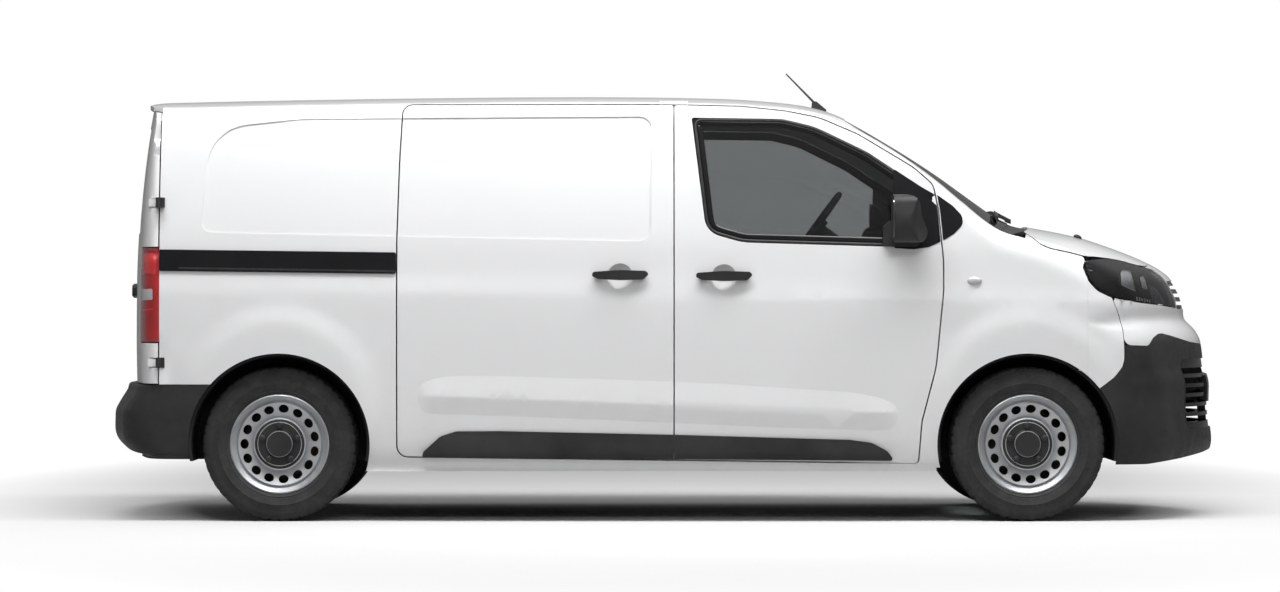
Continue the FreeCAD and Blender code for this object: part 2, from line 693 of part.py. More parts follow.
def handle(x, z):
    """Pull bar with two feet, standing over its dish."""
    skin_y = half_width(x, z)
    bar = prism([(x - 125, z - 4, 10), (x - 118, z + 14, 12), (x, z + 22, 400), (x + 112, z + 18, 12),
                 (x + 126, z + 4, 10), (x + 100, z - 20, 20), (x, z - 23, 400), (x - 96, z - 18, 20)],
                "XZ", Vector(0, skin_y + v.handle_reach, 0), Vector(0, 14 - v.handle_reach, 0))
    bar = bar.common(cylinder_z(x, skin_y + v.handle_reach - 520, 520, z - 60, z + 60))
    for side in (-1, 1):
        bar = bar.fuse(prism([(x + side * 70, z - 14, 6), (x + side * 112, z - 8, 6), (x + side * 112, z + 10, 6),
                              (x + side * 70, z + 14, 6)], "XZ", Vector(0, skin_y + 22, 0), Vector(0, -40, 0)))
    near = side_slab(x - 160, x + 160, z - 60, z + 60, even(-v.fit), even(80), 5, 3)
    return bar.cut(near)


MOULDING = [(B_X - 1101, v.sill_height + 9, 8), (B_X - 1096, v.sill_height + 33, 14),
            (B_X - 1022, v.sill_height + 101, 60), (B_X - 952, v.sill_height + 123, 60),
            (B_X - 760, v.sill_height + 124, 300), (B_X, v.sill_height + 108, 300),
            (B_X + 768, v.sill_height + 86, 200), (B_X + 864, v.sill_height + 73, 60),
            (B_X + 930, v.sill_height + 38, 60), (B_X + 964, v.sill_height - 6, 10)]
moulding = side_slab(B_X - 1120, B_X + 980, v.sill_height - 30, v.sill_height + 140,
                     lambda z: -along([(v.sill_height + 30, v.moulding_depth), (v.sill_height + 110, 9)], z),
                     even(-2 * v.fit), 24, 10)
moulding = moulding.common(side_prism(MOULDING))
rear_moulding = moulding.cut(box(B_X - HALF_GAP, 3000, 0, FAR, 0, 900))
door_moulding = moulding.cut(box(-3000, B_X + HALF_GAP, 0, FAR, 0, 900))

# Side frames: one skin from the tail to the wing, with the door openings cut out
side_stations = [at_x(x) for x in steps(v.tail_line - 30, FRONT_X - 180, 56)]
frame_left = body_slab(side_stations, "down", (0, v.roof_depth), (even(0), even(v.wall)),
                       v.cant_reach - 24, v.skirt_height - 20, 40, False)
frame_end = v.tail_line + HALF_GAP
keep = side_prism([(REAR_X, v.skirt_height - 16), (REAR_X, v.bumper_top + 2), (frame_end, v.bumper_top + 2),
                   (frame_end, TOP_Z), (FRONT_X - 780, TOP_Z),
                   (FRONT_X - 330, COWL_Z + 290)] + JOINT
                  + [(DOOR_X - 130, v.sill_height - 20), (DOOR_X - 30, v.sill_height - 20),
                     (DOOR_X - 30, v.skirt_height - 16)])
frame_left = frame_left.common(keep)
frame_left = frame_left.cut(box(-3000, PILLAR[0][0] + 1, 0, v.cant_reach, 900, TOP_Z))
frame_left = frame_left.cut(vertical(screen_outline(2), 900, TOP_Z))
door_hole = side_prism(grow(FRONT_DOOR, GAP))
slide_hole = side_prism(grow(SLIDE_DOOR, GAP))
between = box(B_X - 40, B_X + 40, 600, FAR, v.sill_height + tilt(B_X) - GAP, CANT + GAP - 1)
arch = cylinder_y(REAR_X, v.tyre_radius, v.arch_radius, 350, FAR)
arch_front = cylinder_y(FRONT_X, v.tyre_radius, v.arch_radius, 350, FAR)

CAB_FOOT = v.cab_floor - v.floor_depth
sill_beam = box(REAR_X + v.arch_radius + 8, FRONT_X - v.arch_radius - 8, v.sill_inner, v.sill_outer,
                v.skirt_height + 20, v.cab_floor)


def post_near(z):
    return along([(BELT - 60, v.door_depth + GAP + 2), (BELT + 60, max(v.frame_depth, v.slide_depth) + GAP + 2)], z)


def post_far(z):
    return post_near(z) + v.wall


post = side_slab(B_X - 62, B_X + 62, v.skirt_height + 40, CANT + 20, post_near, post_far, 3, 20)
hinge_post = side_slab(DOOR_X - 40, DOOR_X + 26, v.skirt_height + 40, COWL_Z + 90, post_near, post_far, 3, 16)
hinge_post = hinge_post.cut(cylinder_y(FRONT_X, v.tyre_radius, v.arch_radius + 1, 350, FAR))
on_floor = box(-3000, 3000, 0, v.sill_inner, 0, v.cab_floor + v.fit)
under_ditch = box(-3000, 3000, 0, v.cant_reach, CANT - 200, TOP_Z)
sill_foot = box(REAR_X + v.arch_radius + 8, FRONT_X - v.arch_radius - 8, v.sill_inner, v.sill_outer + 22,
                v.skirt_height + 20, v.sill_height + 28)
inside = [sill_beam, sill_foot, post.cut(on_floor).cut(under_ditch), hinge_post.cut(on_floor)]
frame_left = frame_left.cut(recess)
HINGE_Y = half_width(v.tail_line, v.crease_height) + 8
HINGE_HALF = 22
for z in (v.hinge_high, v.hinge_low):
    frame_left = frame_left.cut(cylinder_z(v.tail_line, HINGE_Y, v.hinge_radius + v.fit, z - HINGE_HALF - v.fit,
                                           z + HINGE_HALF + v.fit))
    frame_left = frame_left.cut(box(v.tail_line, v.tail_line + 26 + v.fit, HINGE_Y - 24 - v.fit, FAR,
                                    z - HINGE_HALF - v.fit, z + HINGE_HALF + v.fit))
right_hand = frame_left.cut(door_hole).cut(slide_hole).cut(between).cut(arch)
left_hand = frame_left.cut(door_hole).cut(arch)
behind_door = side_prism([(B_X - 1300, 300), (B_X - HALF_GAP, 300), (B_X - HALF_GAP, 800), (B_X - 1300, 800)])
left_hand = left_hand.fuse(door_ridge.common(behind_door))
for piece in inside:
    right_hand = right_hand.fuse(piece)
    left_hand = left_hand.fuse(piece)
node("side_frame_right", mirrored(right_hand))
node("side_frame_left", left_hand)

# Surface of the tail from level sections round the corner
TAIL_ROWS = [(v.tail_foot - 120, TAIL_X + 106), (v.tail_foot + 200, TAIL_X + 100), (BELT - 150, TAIL_X + 102),
             (BELT + 50, TAIL_X + 110), (BELT + 250, TAIL_X + 126), (BELT + 450, TAIL_X + 150),
             (v.tail_top + 20, TAIL_X + 180)]
BUMPER_ROWS = [(272, TAIL_X + 120), (297, TAIL_X + 80), (312, TAIL_X + 50), (340, TAIL_X + 22), (370, TAIL_X + 5),
               (400, TAIL_X), (475, TAIL_X + 2), (500, TAIL_X + 14), (532, TAIL_X + 32), (560, TAIL_X + 50),
               (596, TAIL_X + 68)]


TAIL_COUNT = 24


def tail_section(z, rows, bow, corner, face, side, end):
    def rear(y):
        return along(rows, z) + bow * (y / BOW_REF) ** 2 + face
    low, high = 500.0, 1100.0
    for _ in range(40):
        y = (low + high) / 2
        if y < half_width(rear(y), z) - side:
            low = y
        else:
            high = y
    rounding = max(20.0, corner - max(face, side))
    inner = low - rounding
    x = rear(low)
    reach = min(rounding, 0.7 * (end - x))
    points = [Vector(rear(inner * k / 12), inner * k / 12, z) for k in range(13)]
    points += blend(points[-1], Vector(x, low, z), Vector(x + reach, half_width(x + reach, z) - side, z), 14)
    for k in range(12):
        px = x + reach + (end - x - reach) * k / 11
        points.append(Vector(px, half_width(px, z) - side, z))
    return even_points(points, TAIL_COUNT)


def tail_slab(z0, z1, count, rows, bow, corner, faces, sides, end, both=False):
    grids = []
    for face, side in zip(faces, sides):
        grid = []
        for z in steps(z0, z1, count):
            points = tail_section(z, rows, bow, corner, face, side, end)
            grid.append([flip(p) for p in reversed(points[1:])] + points if both else points)
        grids.append(grid)
    return slab(grids[0], grids[1])


# Roof skin between the ditches, full width over the rear doors
roof_stations = [at_x(x) for x in steps(TAIL_X + 152, FRONT_X - 740, 34)]
roof = body_slab(roof_stations, "down", (0, v.roof_depth), (even(0), even(v.roof_depth)),
                 0, v.tail_top + GAP, 16, True)
lip_stations = [at_x(x) for x in steps(TAIL_X + 152, v.tail_line + 50, 8)]


def under_roof(near, far):
    return body_slab(lip_stations, "down", (near, far), (even(near), even(far)), 0, v.tail_foot + 1000, 16, True)


tail_plan = []
for spot in tail_section(v.tail_top, TAIL_ROWS, v.tail_bow, 115, -14, -14, v.tail_line + 300)[::3]:
    tail_plan.append((spot.x, spot.y))
tail_plan = [(x, -y) for x, y in reversed(tail_plan[1:])] + tail_plan
tail_plan = [(0, -FAR)] + [(v.tail_line + 300, -FAR)] + tail_plan + [(v.tail_line + 300, FAR), (0, FAR)]
header = TAIL_ROWS[-1][1] + v.tail_depth + GAP
hollow = vertical([(TAIL_X, -FAR), (header + v.tail_bow, -FAR), (header + v.tail_bow, -v.cant_reach),
                   (header, -150), (header, 150), (header + v.tail_bow, v.cant_reach),
                   (header + v.tail_bow, FAR), (TAIL_X, FAR)], 900, TOP_Z)
roof = roof.cut(under_roof(v.roof_lip, v.roof_depth + 26).common(hollow))
roof = roof.common(vertical([(3000, -FAR), (3000, FAR)] + list(reversed(tail_plan)), 900, TOP_Z))
for side in (-1, 1):
    y0, y1 = sorted((side * (v.cant_reach - v.fit), side * FAR))
    roof = roof.cut(box(frame_end - v.fit, 3000, y0, y1, 900, TOP_Z))
roof = roof.cut(vertical(screen_outline(2), 900, TOP_Z))
roof = roof.cut(box(SCREEN_TOP, 3000, -FAR, FAR, 900, TOP_Z))
roof = max(roof.Solids, key=lambda s: s.Volume)
node("roof_panel", roof)

# Windscreen
screen_stations = [at_x(x) for x in steps(FRONT_X - 840, FRONT_X + 20, 16)]
screen = body_slab(screen_stations, "down", (v.glass_inset, v.glass_inset + v.glass_thickness),
                   (even(v.glass_inset), even(v.glass_inset + v.glass_thickness)), 0, None, 16, True)
node("windscreen", screen.common(vertical(screen_outline(-2), 900, TOP_Z)))

# Bonnet
BONNET_REAR = FRONT_X + 56
bonnet_stations = [at_x(x) for x in steps(FRONT_X - 30, FRONT_X + 640, 22)]
bonnet = body_slab(bonnet_stations, "down", (0, v.skin), (even(0), even(v.skin)), 0, None, 22, True)
BONNET_PLAN = [(FRONT_X - 60, -1000), (BONNET_REAR - 24, -500), (BONNET_REAR, -200), (BONNET_REAR, 200),
               (BONNET_REAR - 24, 500), (FRONT_X - 60, 1000), (FRONT_X + 800, 1000), (FRONT_X + 800, -1000)]
above = prism([(FRONT_X - 40, COWL_Z + 4)] + [(p[0], p[1] + GAP / 2) + tuple(p[2:]) for p in BONNET_SIDE]
              + [(FRONT_X + 700, COWL_Z - 186), (FRONT_X + 700, COWL_Z + 200), (FRONT_X - 40, COWL_Z + 200)],
              "XZ", Vector(0, -FAR, 0), Vector(0, 2 * FAR, 0))
LEAN = 0.32


def bonnet_front(by):
    """Space behind the bonnet's front edge, leaning along the path of that edge."""
    points = [(FRONT_X - 60, -FAR), (FRONT_X - 60, FAR), (FRONT_X + 418 + by, FAR), (FRONT_X + 470 + by, 1000),
              (FRONT_X + 522 + by, 700), (FRONT_X + 590 + by, 300, 400), (FRONT_X + 600 + by, 0),
              (FRONT_X + 590 + by, -300, 400), (FRONT_X + 522 + by, -700), (FRONT_X + 470 + by, -1000),
              (FRONT_X + 418 + by, -FAR)]
    return prism(points, "XY", Vector(-LEAN * (COWL_Z - 170 - 900), 0, 900), Vector(LEAN * 500, 0, 500))


bonnet = bonnet.common(vertical(BONNET_PLAN, 900, TOP_Z)).common(above).common(bonnet_front(0))
node("bonnet", bonnet)

# Scuttle between windscreen and bonnet
cowl_grids = []
for inset in (v.glass_inset + v.glass_thickness + v.fit, 1.7 * v.skin):
    cowl_grid = []
    for x in steps(FRONT_X - 60, FRONT_X + 70, 8):
        spots = [(y, top_point(at_x(x), y, inset)) for y in steps(-800, 800, 17)]
        cowl_grid.append([Vector(spot[0], y, spot[1]) for y, spot in spots])
    cowl_grids.append(cowl_grid)
cowl = slab(cowl_grids[0], cowl_grids[1])
cowl = cowl.common(vertical([(SCREEN_FOOT - 96, -780), (SCREEN_FOOT - 14, -400), (SCREEN_FOOT + 6, 0),
                             (SCREEN_FOOT - 14, 400), (SCREEN_FOOT - 96, 780), (FRONT_X - 40, 780),
                             (BONNET_REAR - 34, 500), (BONNET_REAR - 8, 200), (BONNET_REAR - 8, -200),
                             (BONNET_REAR - 34, -500), (FRONT_X - 40, -780)], 900, TOP_Z))
screen_room = body_slab(screen_stations, "down", (v.glass_inset - 2, v.glass_inset + v.glass_thickness + v.fit),
                        (even(v.glass_inset - 2), even(v.glass_inset + v.glass_thickness + v.fit)), 0, None, 16, True)
node("scuttle", cowl.cut(screen_room))

# Nose: one swept surface behind bumper, lamps and grilles
NOSE_STATIONS = steps(at_z(COWL_Z - 128), STATION[-1], 40)


def nose(near, far, both=True, first=0, last=40, start=0, count=24):
    return body_slab(NOSE_STATIONS[first:last], "back", (near, far), (even(near), even(far)),
                     start, None, count, both)


def across(points):
    return prism(points, "XZ", Vector(0, -FAR, 0), Vector(0, 2 * FAR, 0))


def front_window(half, z0, z1, radius, x0=None):
    return prism([(-half, z0, radius), (half, z0, radius), (half, z1, radius), (-half, z1, radius)], "YZ",
                 Vector(FRONT_X if x0 is None else x0, 0, 0), Vector(FAR, 0, 0))


# Front wings
wing_stations = [at_x(x) for x in steps(FRONT_X - 440, FRONT_X + 650, 30)]
wing = body_slab(wing_stations, "down", (0, v.skin), (even(0), even(v.skin)), 640, v.skirt_height, 44, False)
joint_up = [(p[0] + v.fit, p[1]) for p in JOINT]
wing_side = ([(FRONT_X - 258 + v.fit, COWL_Z + 132), (FRONT_X - 30, COWL_Z + 132)]
             + [(p[0], p[1] - GAP / 2) + tuple(p[2:]) for p in BONNET_SIDE[:6]]
             + [(FRONT_X + 241, COWL_Z - 187, 20), (FRONT_X + 266, COWL_Z - 251, 60), (FRONT_X + 303, COWL_Z - 292, 80)]
             + [(p[0] - 2, p[1]) + tuple(p[2:]) for p in WING_FRONT]
             + [(FRONT_X, 500), (FRONT_X - 300, v.skirt_height), (DOOR_X - 150, v.skirt_height)]
             + list(reversed(joint_up)))
wing_prism = side_prism(wing_side, 400)
cowl_room = vertical([(FRONT_X - 460, 0), (FRONT_X - 460, v.cant_reach + 96), (FRONT_X - 358, v.cant_reach + 108),
                      (FRONT_X - 233, v.cant_reach + 126), (FRONT_X - 110, v.cant_reach + 156),
                      (SCREEN_FOOT + 20, v.cant_reach + 160), (FRONT_X + 90, 0)], 900, TOP_Z)
wing = wing.common(wing_prism).cut(cowl_room).cut(arch_front).cut(door_hole)
wing = wing.cut(box(DOOR_X - 200, DOOR_X - 30 + v.fit, 0, FAR, 0, v.sill_height - 20 + v.fit))
wing = max(wing.Solids, key=lambda s: s.Volume)
WING_SPLIT = FRONT_X + 262
wing = wing.cut(box(WING_SPLIT - v.fit / 2, 3000, 0, FAR, 0, TOP_Z))
tongue = nose(v.skin / 4, 0.75 * v.skin, False, 4, 33, 640, 16)
tongue = tongue.common(box(WING_SPLIT - 40, WING_SPLIT + 40, 700, FAR, COWL_Z - 640, COWL_Z - 350))
tip = nose(0, v.skin, False, 4, 33, 640, 16).common(wing_prism).cut(arch_front)
tip = tip.cut(box(0, WING_SPLIT + v.fit / 2, 0, FAR, 0, TOP_Z))
wing = wing.fuse(tongue).fuse(tip)
node("front_wings", Part.makeCompound([wing, mirrored(wing)]))

GRILLE_LOW = COWL_Z - 372
GRILLE_TOP = COWL_Z - 246
INTAKE_HALF = 610
INTAKE_LOW = COWL_Z - 905
INTAKE_TOP = COWL_Z - 594
lamp_prism = side_prism(LAMP, LAMP_INNER)
lamp = nose(0, 80, False, 0, 18, LAMP_INNER - 30, 16).common(lamp_prism)
node("headlamps", Part.makeCompound([lamp, mirrored(lamp)]))

nose_skin = nose(0, v.skin)
white = across([(p[0] + 0.8, p[1]) + tuple(p[2:]) for p in WING_FRONT[:4]]
               + [(p[0], p[1] + 0.8) + tuple(p[2:]) for p in BLACK_TOP[1:]]
               + [(NOSE_X + 80, COWL_Z - 100), (FRONT_X + 380, COWL_Z - 100)])
front_bumper = nose_skin.common(white)
lamp_gap = side_prism(grow(LAMP, 2.5), LAMP_INNER - 2.5)
front_bumper = front_bumper.cut(lamp_gap).cut(mirrored(lamp_gap)).cut(bonnet_front(GAP))
front_bumper = front_bumper.cut(front_window(LAMP_INNER - 4, GRILLE_LOW, GRILLE_TOP, 8))
front_bumper = max(front_bumper.Solids, key=lambda s: s.Volume)
node("front_bumper", front_bumper)

upper = nose(5, 40, True, 0, 20).common(front_window(LAMP_INNER - 4.3, GRILLE_LOW + v.fit, GRILLE_TOP - v.fit, 8))
for k in range(3):
    z = GRILLE_LOW + 18 + 36 * k
    upper = upper.cut(box(FRONT_X, NOSE_X - 120, -LAMP_INNER + 24, LAMP_INNER - 24, z, z + 16))
node("upper_grille", upper)

black = across([(p[0] + 0.8, p[1] - 0.8) + tuple(p[2:]) for p in BLACK_TOP]
               + [(NOSE_X + 80, 312), (NOSE_X - 10, v.sill_height + 28), (NOSE_X - 90, v.sill_height + 13),
                  (NOSE_X - 210, v.sill_height - 5), (NOSE_X - 360, v.sill_height - 22),
                  (FRONT_X + 374, v.skirt_height - 5), (FRONT_X + 360, v.skirt_height + 30),
                  (FRONT_X + 200, v.skirt_height + 30)]
               + [(p[0] + 0.8, p[1]) + tuple(p[2:]) for p in reversed(WING_FRONT[4:])])
lower = nose_skin.common(black).cut(arch_front).cut(mirrored(arch_front))
lower = lower.cut(front_window(INTAKE_HALF, INTAKE_LOW, INTAKE_TOP, 50))
lower = max(lower.Solids, key=lambda s: s.Volume)
node("front_bumper_lower", lower)

carrier = nose(v.skin + 2 * v.fit, v.skin + v.carrier_depth, True, 0, 20)
carrier = carrier.cut(box(0, 3000, -FAR, FAR, 0, GRILLE_LOW - 70))
lamp_gap = side_prism(grow(LAMP, 2 * v.fit), LAMP_INNER - 2 * v.fit)
carrier = carrier.cut(lamp_gap).cut(mirrored(lamp_gap))
carrier = carrier.cut(front_window(LAMP_INNER - 4, GRILLE_LOW, GRILLE_TOP, 8))
carrier = carrier.common(box(FRONT_X + 330, 3000, -800, 800, 0, TOP_Z))
carrier = max(carrier.Solids, key=lambda s: s.Volume)
node("front_carrier", carrier)

mesh = nose(8, 44, True, 14, 40).common(front_window(INTAKE_HALF - v.fit, INTAKE_LOW + v.fit, INTAKE_TOP - v.fit, 50))
for k in range(6):
    z = INTAKE_LOW + 30 + 43 * k
    for y0, y1 in ((-INTAKE_HALF + 30, -8), (8, INTAKE_HALF - 30)):
        mesh = mesh.cut(box(FRONT_X, NOSE_X + 100, y0, y1, z, z + 26))
plate_rest = nose(-2, 30, True, 14, 38).common(front_window(262, COWL_Z - 788, COWL_Z - 664, 10))
node("lower_grille", mesh.fuse(plate_rest))

# Rear doors, tail lamps and rear bumper
rear_door = tail_slab(v.tail_foot, v.tail_top, 22, TAIL_ROWS, v.tail_bow, 115, (0, v.tail_depth), (0, v.wall),
                      v.tail_line - HALF_GAP)
rear_door = rear_door.cut(under_roof(-60, v.roof_lip + GAP))
rear_door = rear_door.cut(box(-3000, 0, -10, GAP * 0.75, 0, 2500))
rear_door = rear_door.cut(box(v.tail_line - HALF_GAP, 0, v.cant_reach - GAP, FAR, BELT, 2500))
rear_door = rear_door.cut(cylinder_z(v.tail_line, HINGE_Y, v.lamp_reach + GAP, v.lamp_foot - GAP, v.lamp_top + GAP))
outside = tail_slab(v.tail_foot + 40, v.tail_top - 20, 22, TAIL_ROWS, v.tail_bow, 115, (-40, 4), (-40, 4),
                    v.tail_line - HALF_GAP)
pressing = prism([(86, BELT + 60, 50), (720, BELT + 60, 50), (700, v.tail_top - 70, 90), (86, v.tail_top - 70, 50)],
                 "YZ", Vector(-3000, 0, 0), Vector(1000, 0, 0))
rear_door = rear_door.cut(outside.common(pressing))
knuckles = []
for z in (v.hinge_high, v.hinge_low):
    turn = cylinder_z(v.tail_line, HINGE_Y, v.hinge_radius + v.fit, z - HINGE_HALF - v.fit, z + HINGE_HALF + v.fit)
    skin_y = half_width(v.tail_line - 30, z)
    pocket = box(v.tail_line - 50, v.tail_line, skin_y - 12, FAR, z - HINGE_HALF, z + HINGE_HALF)
    arm = box(v.tail_line - 46, v.tail_line, skin_y - 16, skin_y + 1, z - HINGE_HALF + 5, z + HINGE_HALF - 5)
    rear_door = rear_door.cut(pocket).fuse(arm).cut(turn)
    pin = cylinder_z(v.tail_line, HINGE_Y, v.hinge_radius, z - HINGE_HALF, z + HINGE_HALF)
    knuckles.append(pin.fuse(box(v.tail_line + 1, v.tail_line + 26, HINGE_Y - 24, HINGE_Y - 5, z - HINGE_HALF,
                                 z + HINGE_HALF)))
PLATE = (130, 660, v.crease_height - 80, v.crease_height + 50)
plate_pocket = tail_slab(PLATE[2] - 20, PLATE[3] + 20, 6, TAIL_ROWS, v.tail_bow, 115, (-40, 12), (-40, 12),
                         v.tail_line - HALF_GAP)
plate_pocket = plate_pocket.common(prism([(PLATE[0], PLATE[2], 14), (PLATE[1], PLATE[2], 14),
                                          (PLATE[1], PLATE[3], 14), (PLATE[0], PLATE[3], 14)], "YZ",
                                         Vector(-3000, 0, 0), Vector(1000, 0, 0)))
node("rear_door_left", rear_door.cut(plate_pocket))
node("rear_door_right", mirrored(rear_door))
rear_pull = tail_slab(v.crease_height - 30, v.crease_height + 90, 5, TAIL_ROWS, v.tail_bow, 115, (-32, -v.fit),
                      (-32, -v.fit), v.tail_line - HALF_GAP)
rear_pull = rear_pull.common(prism([(28, v.crease_height - 8, 12), (150, v.crease_height + 4, 14),
                                    (154, v.crease_height + 48, 14), (28, v.crease_height + 60, 12)], "YZ",
                                   Vector(-3000, 0, 0), Vector(1000, 0, 0)))
node("rear_door_handle", mirrored(rear_pull))

tail_lamp = tail_slab(v.lamp_foot, v.lamp_top, 10, TAIL_ROWS, v.tail_bow, 115, (0, 62), (0, 50), frame_end - v.fit)
tail_lamp = tail_lamp.common(cylinder_z(v.tail_line, HINGE_Y, v.lamp_reach, 0, 2500))
node("tail_lamps", Part.makeCompound([tail_lamp, mirrored(tail_lamp)]))

rear_bumper = tail_slab(BUMPER_ROWS[0][0], v.bumper_top, 16, BUMPER_ROWS, v.bumper_bow, 110,
                        (0, v.bumper_depth), (0, 50), REAR_X - 250, True)
rear_bumper = rear_bumper.cut(arch).cut(mirrored(arch))
node("rear_bumper", rear_bumper)
node("door_hinges", Part.makeCompound(knuckles + [mirrored(k) for k in knuckles]))

# Sliding door, only on the right
slide = side_slab(v.slide_rear - 20, v.b_line + 20, v.sill_height - 60, CANT + 30,
                  even(0), even(v.slide_depth), 20, 32)
slide = slide.fuse(door_ridge).common(side_prism(SLIDE_DOOR))
slide = slide.cut(recess).cut(dish(*SLIDE_CUP))
node("slide_door", mirrored(slide))
node("side_trim", Part.makeCompound([rear_moulding, mirrored(rear_moulding), mirrored(handle(*SLIDE_CUP))]))

rail = side_slab(v.tail_line - 10, v.slide_rear + 20, 1060, 1230, even(-v.rail_depth), even(-2 * v.fit), 24, 7)
rail_shape = [(frame_end, v.rail_top - v.rail_height, 6), (frame_end, v.rail_top, 6),
              (v.slide_rear - HALF_GAP, v.rail_top - 13, 10), (v.slide_rear - HALF_GAP, v.rail_top - 13 - v.rail_height, 10)]
node("slide_rail_cover", mirrored(rail.common(side_prism(rail_shape))))

# Cab doors, glass, mirrors
door_plate = side_slab(v.b_line - 20, v.door_front + 20, v.sill_height - 60, CANT + 30,
                       even(0), door_inset, 22, 40)
door_plate = door_plate.fuse(door_ridge).common(side_prism(FRONT_DOOR))
door_plate = door_plate.cut(side_prism(WINDOW)).cut(dish(*DOOR_CUP))
both_nodes("door_trim", Part.makeCompound([door_moulding, handle(*DOOR_CUP)]))
both_nodes("front_door", door_plate)
pane = side_slab(v.b_line + 40, v.door_front - 40, BELT - 60, CANT,
                 even(v.glass_inset), even(v.glass_inset + v.glass_thickness), 14, 14)
pane = pane.common(side_prism(grow(WINDOW, -v.fit)))
both_nodes("door_glass", pane)

MIRROR_X = DOOR_X - 168
head_in, head_out = v.mirror_reach - 182, v.mirror_reach
head_low, head_high = BELT + 14, BELT + 230
mirror_side = prism([(MIRROR_X - 64, head_low, 26), (MIRROR_X - 66, head_high - 6, 24), (MIRROR_X - 40, head_high, 30),
                     (MIRROR_X + 56, head_high - 14, 60), (MIRROR_X + 68, head_low + 110, 120),
                     (MIRROR_X + 100, head_low + 46, 50), (MIRROR_X + 76, head_low, 34)], "XZ",
                    Vector(0, head_in - 10, 0), Vector(0, 220, 0))
mirror_plan = vertical([(MIRROR_X - 62, head_in, 12), (MIRROR_X - 58, head_out - 4, 22),
                        (MIRROR_X + 30, head_out, 70), (MIRROR_X + 104, head_in + 60, 90),
                        (MIRROR_X + 96, head_in, 24)], head_low - 10, head_high + 10)
mirror_back = prism([(head_in + 10, head_low + 4, 40), (head_in, head_high - 20, 50), (head_out - 30, head_high, 50),
                     (head_out, head_low + 90, 150), (head_out - 30, head_low, 50)], "YZ",
                    Vector(MIRROR_X - 80, 0, 0), Vector(200, 0, 0))
mirror_shell = mirror_side.common(mirror_plan).common(mirror_back)
glass_seat = mirror_back.common(mirror_side).common(vertical([(MIRROR_X - 70, head_in + 12), (MIRROR_X - 70, head_out - 16),
                                                             (MIRROR_X - 56, head_out - 16),
                                                             (MIRROR_X - 56, head_in + 12)], head_low + 12,
                                                            head_high - 14))
mirror_shell = mirror_shell.cut(glass_seat)
door_y = half_width(MIRROR_X, BELT + 40)
mirror_foot = prism([(MIRROR_X - 98, BELT - 2, 16), (MIRROR_X - 98, BELT + 84, 30), (MIRROR_X - 66, BELT + 118, 30),
                     (MIRROR_X + 60, BELT + 60, 60), (MIRROR_X + 66, BELT - 2, 20)], "XZ",
                    Vector(0, door_y - 30, 0), Vector(0, 62, 0))
mirror_arm = prism([(MIRROR_X - 30, BELT + 18, 12), (MIRROR_X - 30, BELT + 58, 16), (MIRROR_X + 54, BELT + 54, 20),
                    (MIRROR_X + 54, BELT + 18, 12)], "XZ", Vector(0, door_y - 10, 0),
                   Vector(0, head_in + 40 - door_y, 0))
mirror = mirror_shell.fuse(mirror_foot).fuse(mirror_arm)
skin_cut = side_slab(MIRROR_X - 160, MIRROR_X + 200, BELT - 100, BELT + 300, even(-v.fit), even(200), 6, 8)
mirror = mirror.cut(skin_cut)
both_nodes("mirror", max(mirror.Solids, key=lambda s: s.Volume))

# Antenna, wipers and side repeaters
MAST = Vector(FRONT_X - 899, 0, v.antenna_tip - 137)
TIP = Vector(FRONT_X - 1029, 0, v.antenna_tip - 4)
mast_line = TIP - MAST
mast = Part.makeCone(5.5, 3, mast_line.Length, MAST, mast_line)
fin = prism([(FRONT_X - 914, v.antenna_tip - 175), (FRONT_X - 910, v.antenna_tip - 130, 8),
             (FRONT_X - 890, v.antenna_tip - 130, 8), (FRONT_X - 818, v.antenna_tip - 190)], "XZ",
            Vector(0, -15, 0), Vector(0, 30, 0))
fin = fin.common(vertical([(FRONT_X - 920, -12, 10), (FRONT_X - 920, 12, 10), (FRONT_X - 812, 0, 4)], 1700, 2100))
roof_top = body_slab([at_x(x) for x in steps(FRONT_X - 1000, FRONT_X - 740, 8)], "down", (-v.fit, 80),
                     (even(-v.fit), even(80)), 0, None, 16, True)
node("antenna", fin.fuse(mast).cut(roof_top))

sweep = body_slab(screen_stations, "down", (-20, -4), (even(-20), even(-4)), 0, None, 16, True)


def strip(x0, y0, x1, y1, half):
    """Thin plan strip between two points, as a tall prism."""
    length = math.hypot(x1 - x0, y1 - y0)
    dx, dy = (x1 - x0) / length * half, (y1 - y0) / length * half
    return vertical([(x0 - dx - dy, y0 - dy + dx, half * 0.6), (x0 - dx + dy, y0 - dy - dx, half * 0.6),
                     (x1 + dx + dy, y1 + dy - dx, half * 0.6), (x1 + dx - dy, y1 + dy + dx, half * 0.6)], 900, TOP_Z)


wipers = []
for pivot_y, tip_y in ((560, 10), (-80, -600)):
    pivot_x = SCREEN_FOOT + 6 - 60 * (pivot_y / 600) ** 2
    blade_x = SCREEN_FOOT - 52
    sag = -34 * (tip_y / 600) ** 2
    blade = sweep.common(strip(blade_x - 34 * (pivot_y / 600) ** 2, pivot_y - 20, blade_x + sag, tip_y, 8))
    arm = sweep.common(strip(pivot_x, pivot_y, blade_x - 10, (pivot_y + tip_y) / 2, 10))
    post_top = top_point(at_x(pivot_x), pivot_y, -18)[1]
    foot = cylinder_z(pivot_x, pivot_y, 14, post_top - 40, post_top)
    under = body_slab(screen_stations, "down", (-0.5, 60), (even(-0.5), even(60)), 0, None, 16, True)
    wipers.append(max(blade.fuse(arm).fuse(foot).cut(under).Solids, key=lambda s: s.Volume))
node("wipers", Part.makeCompound(wipers))

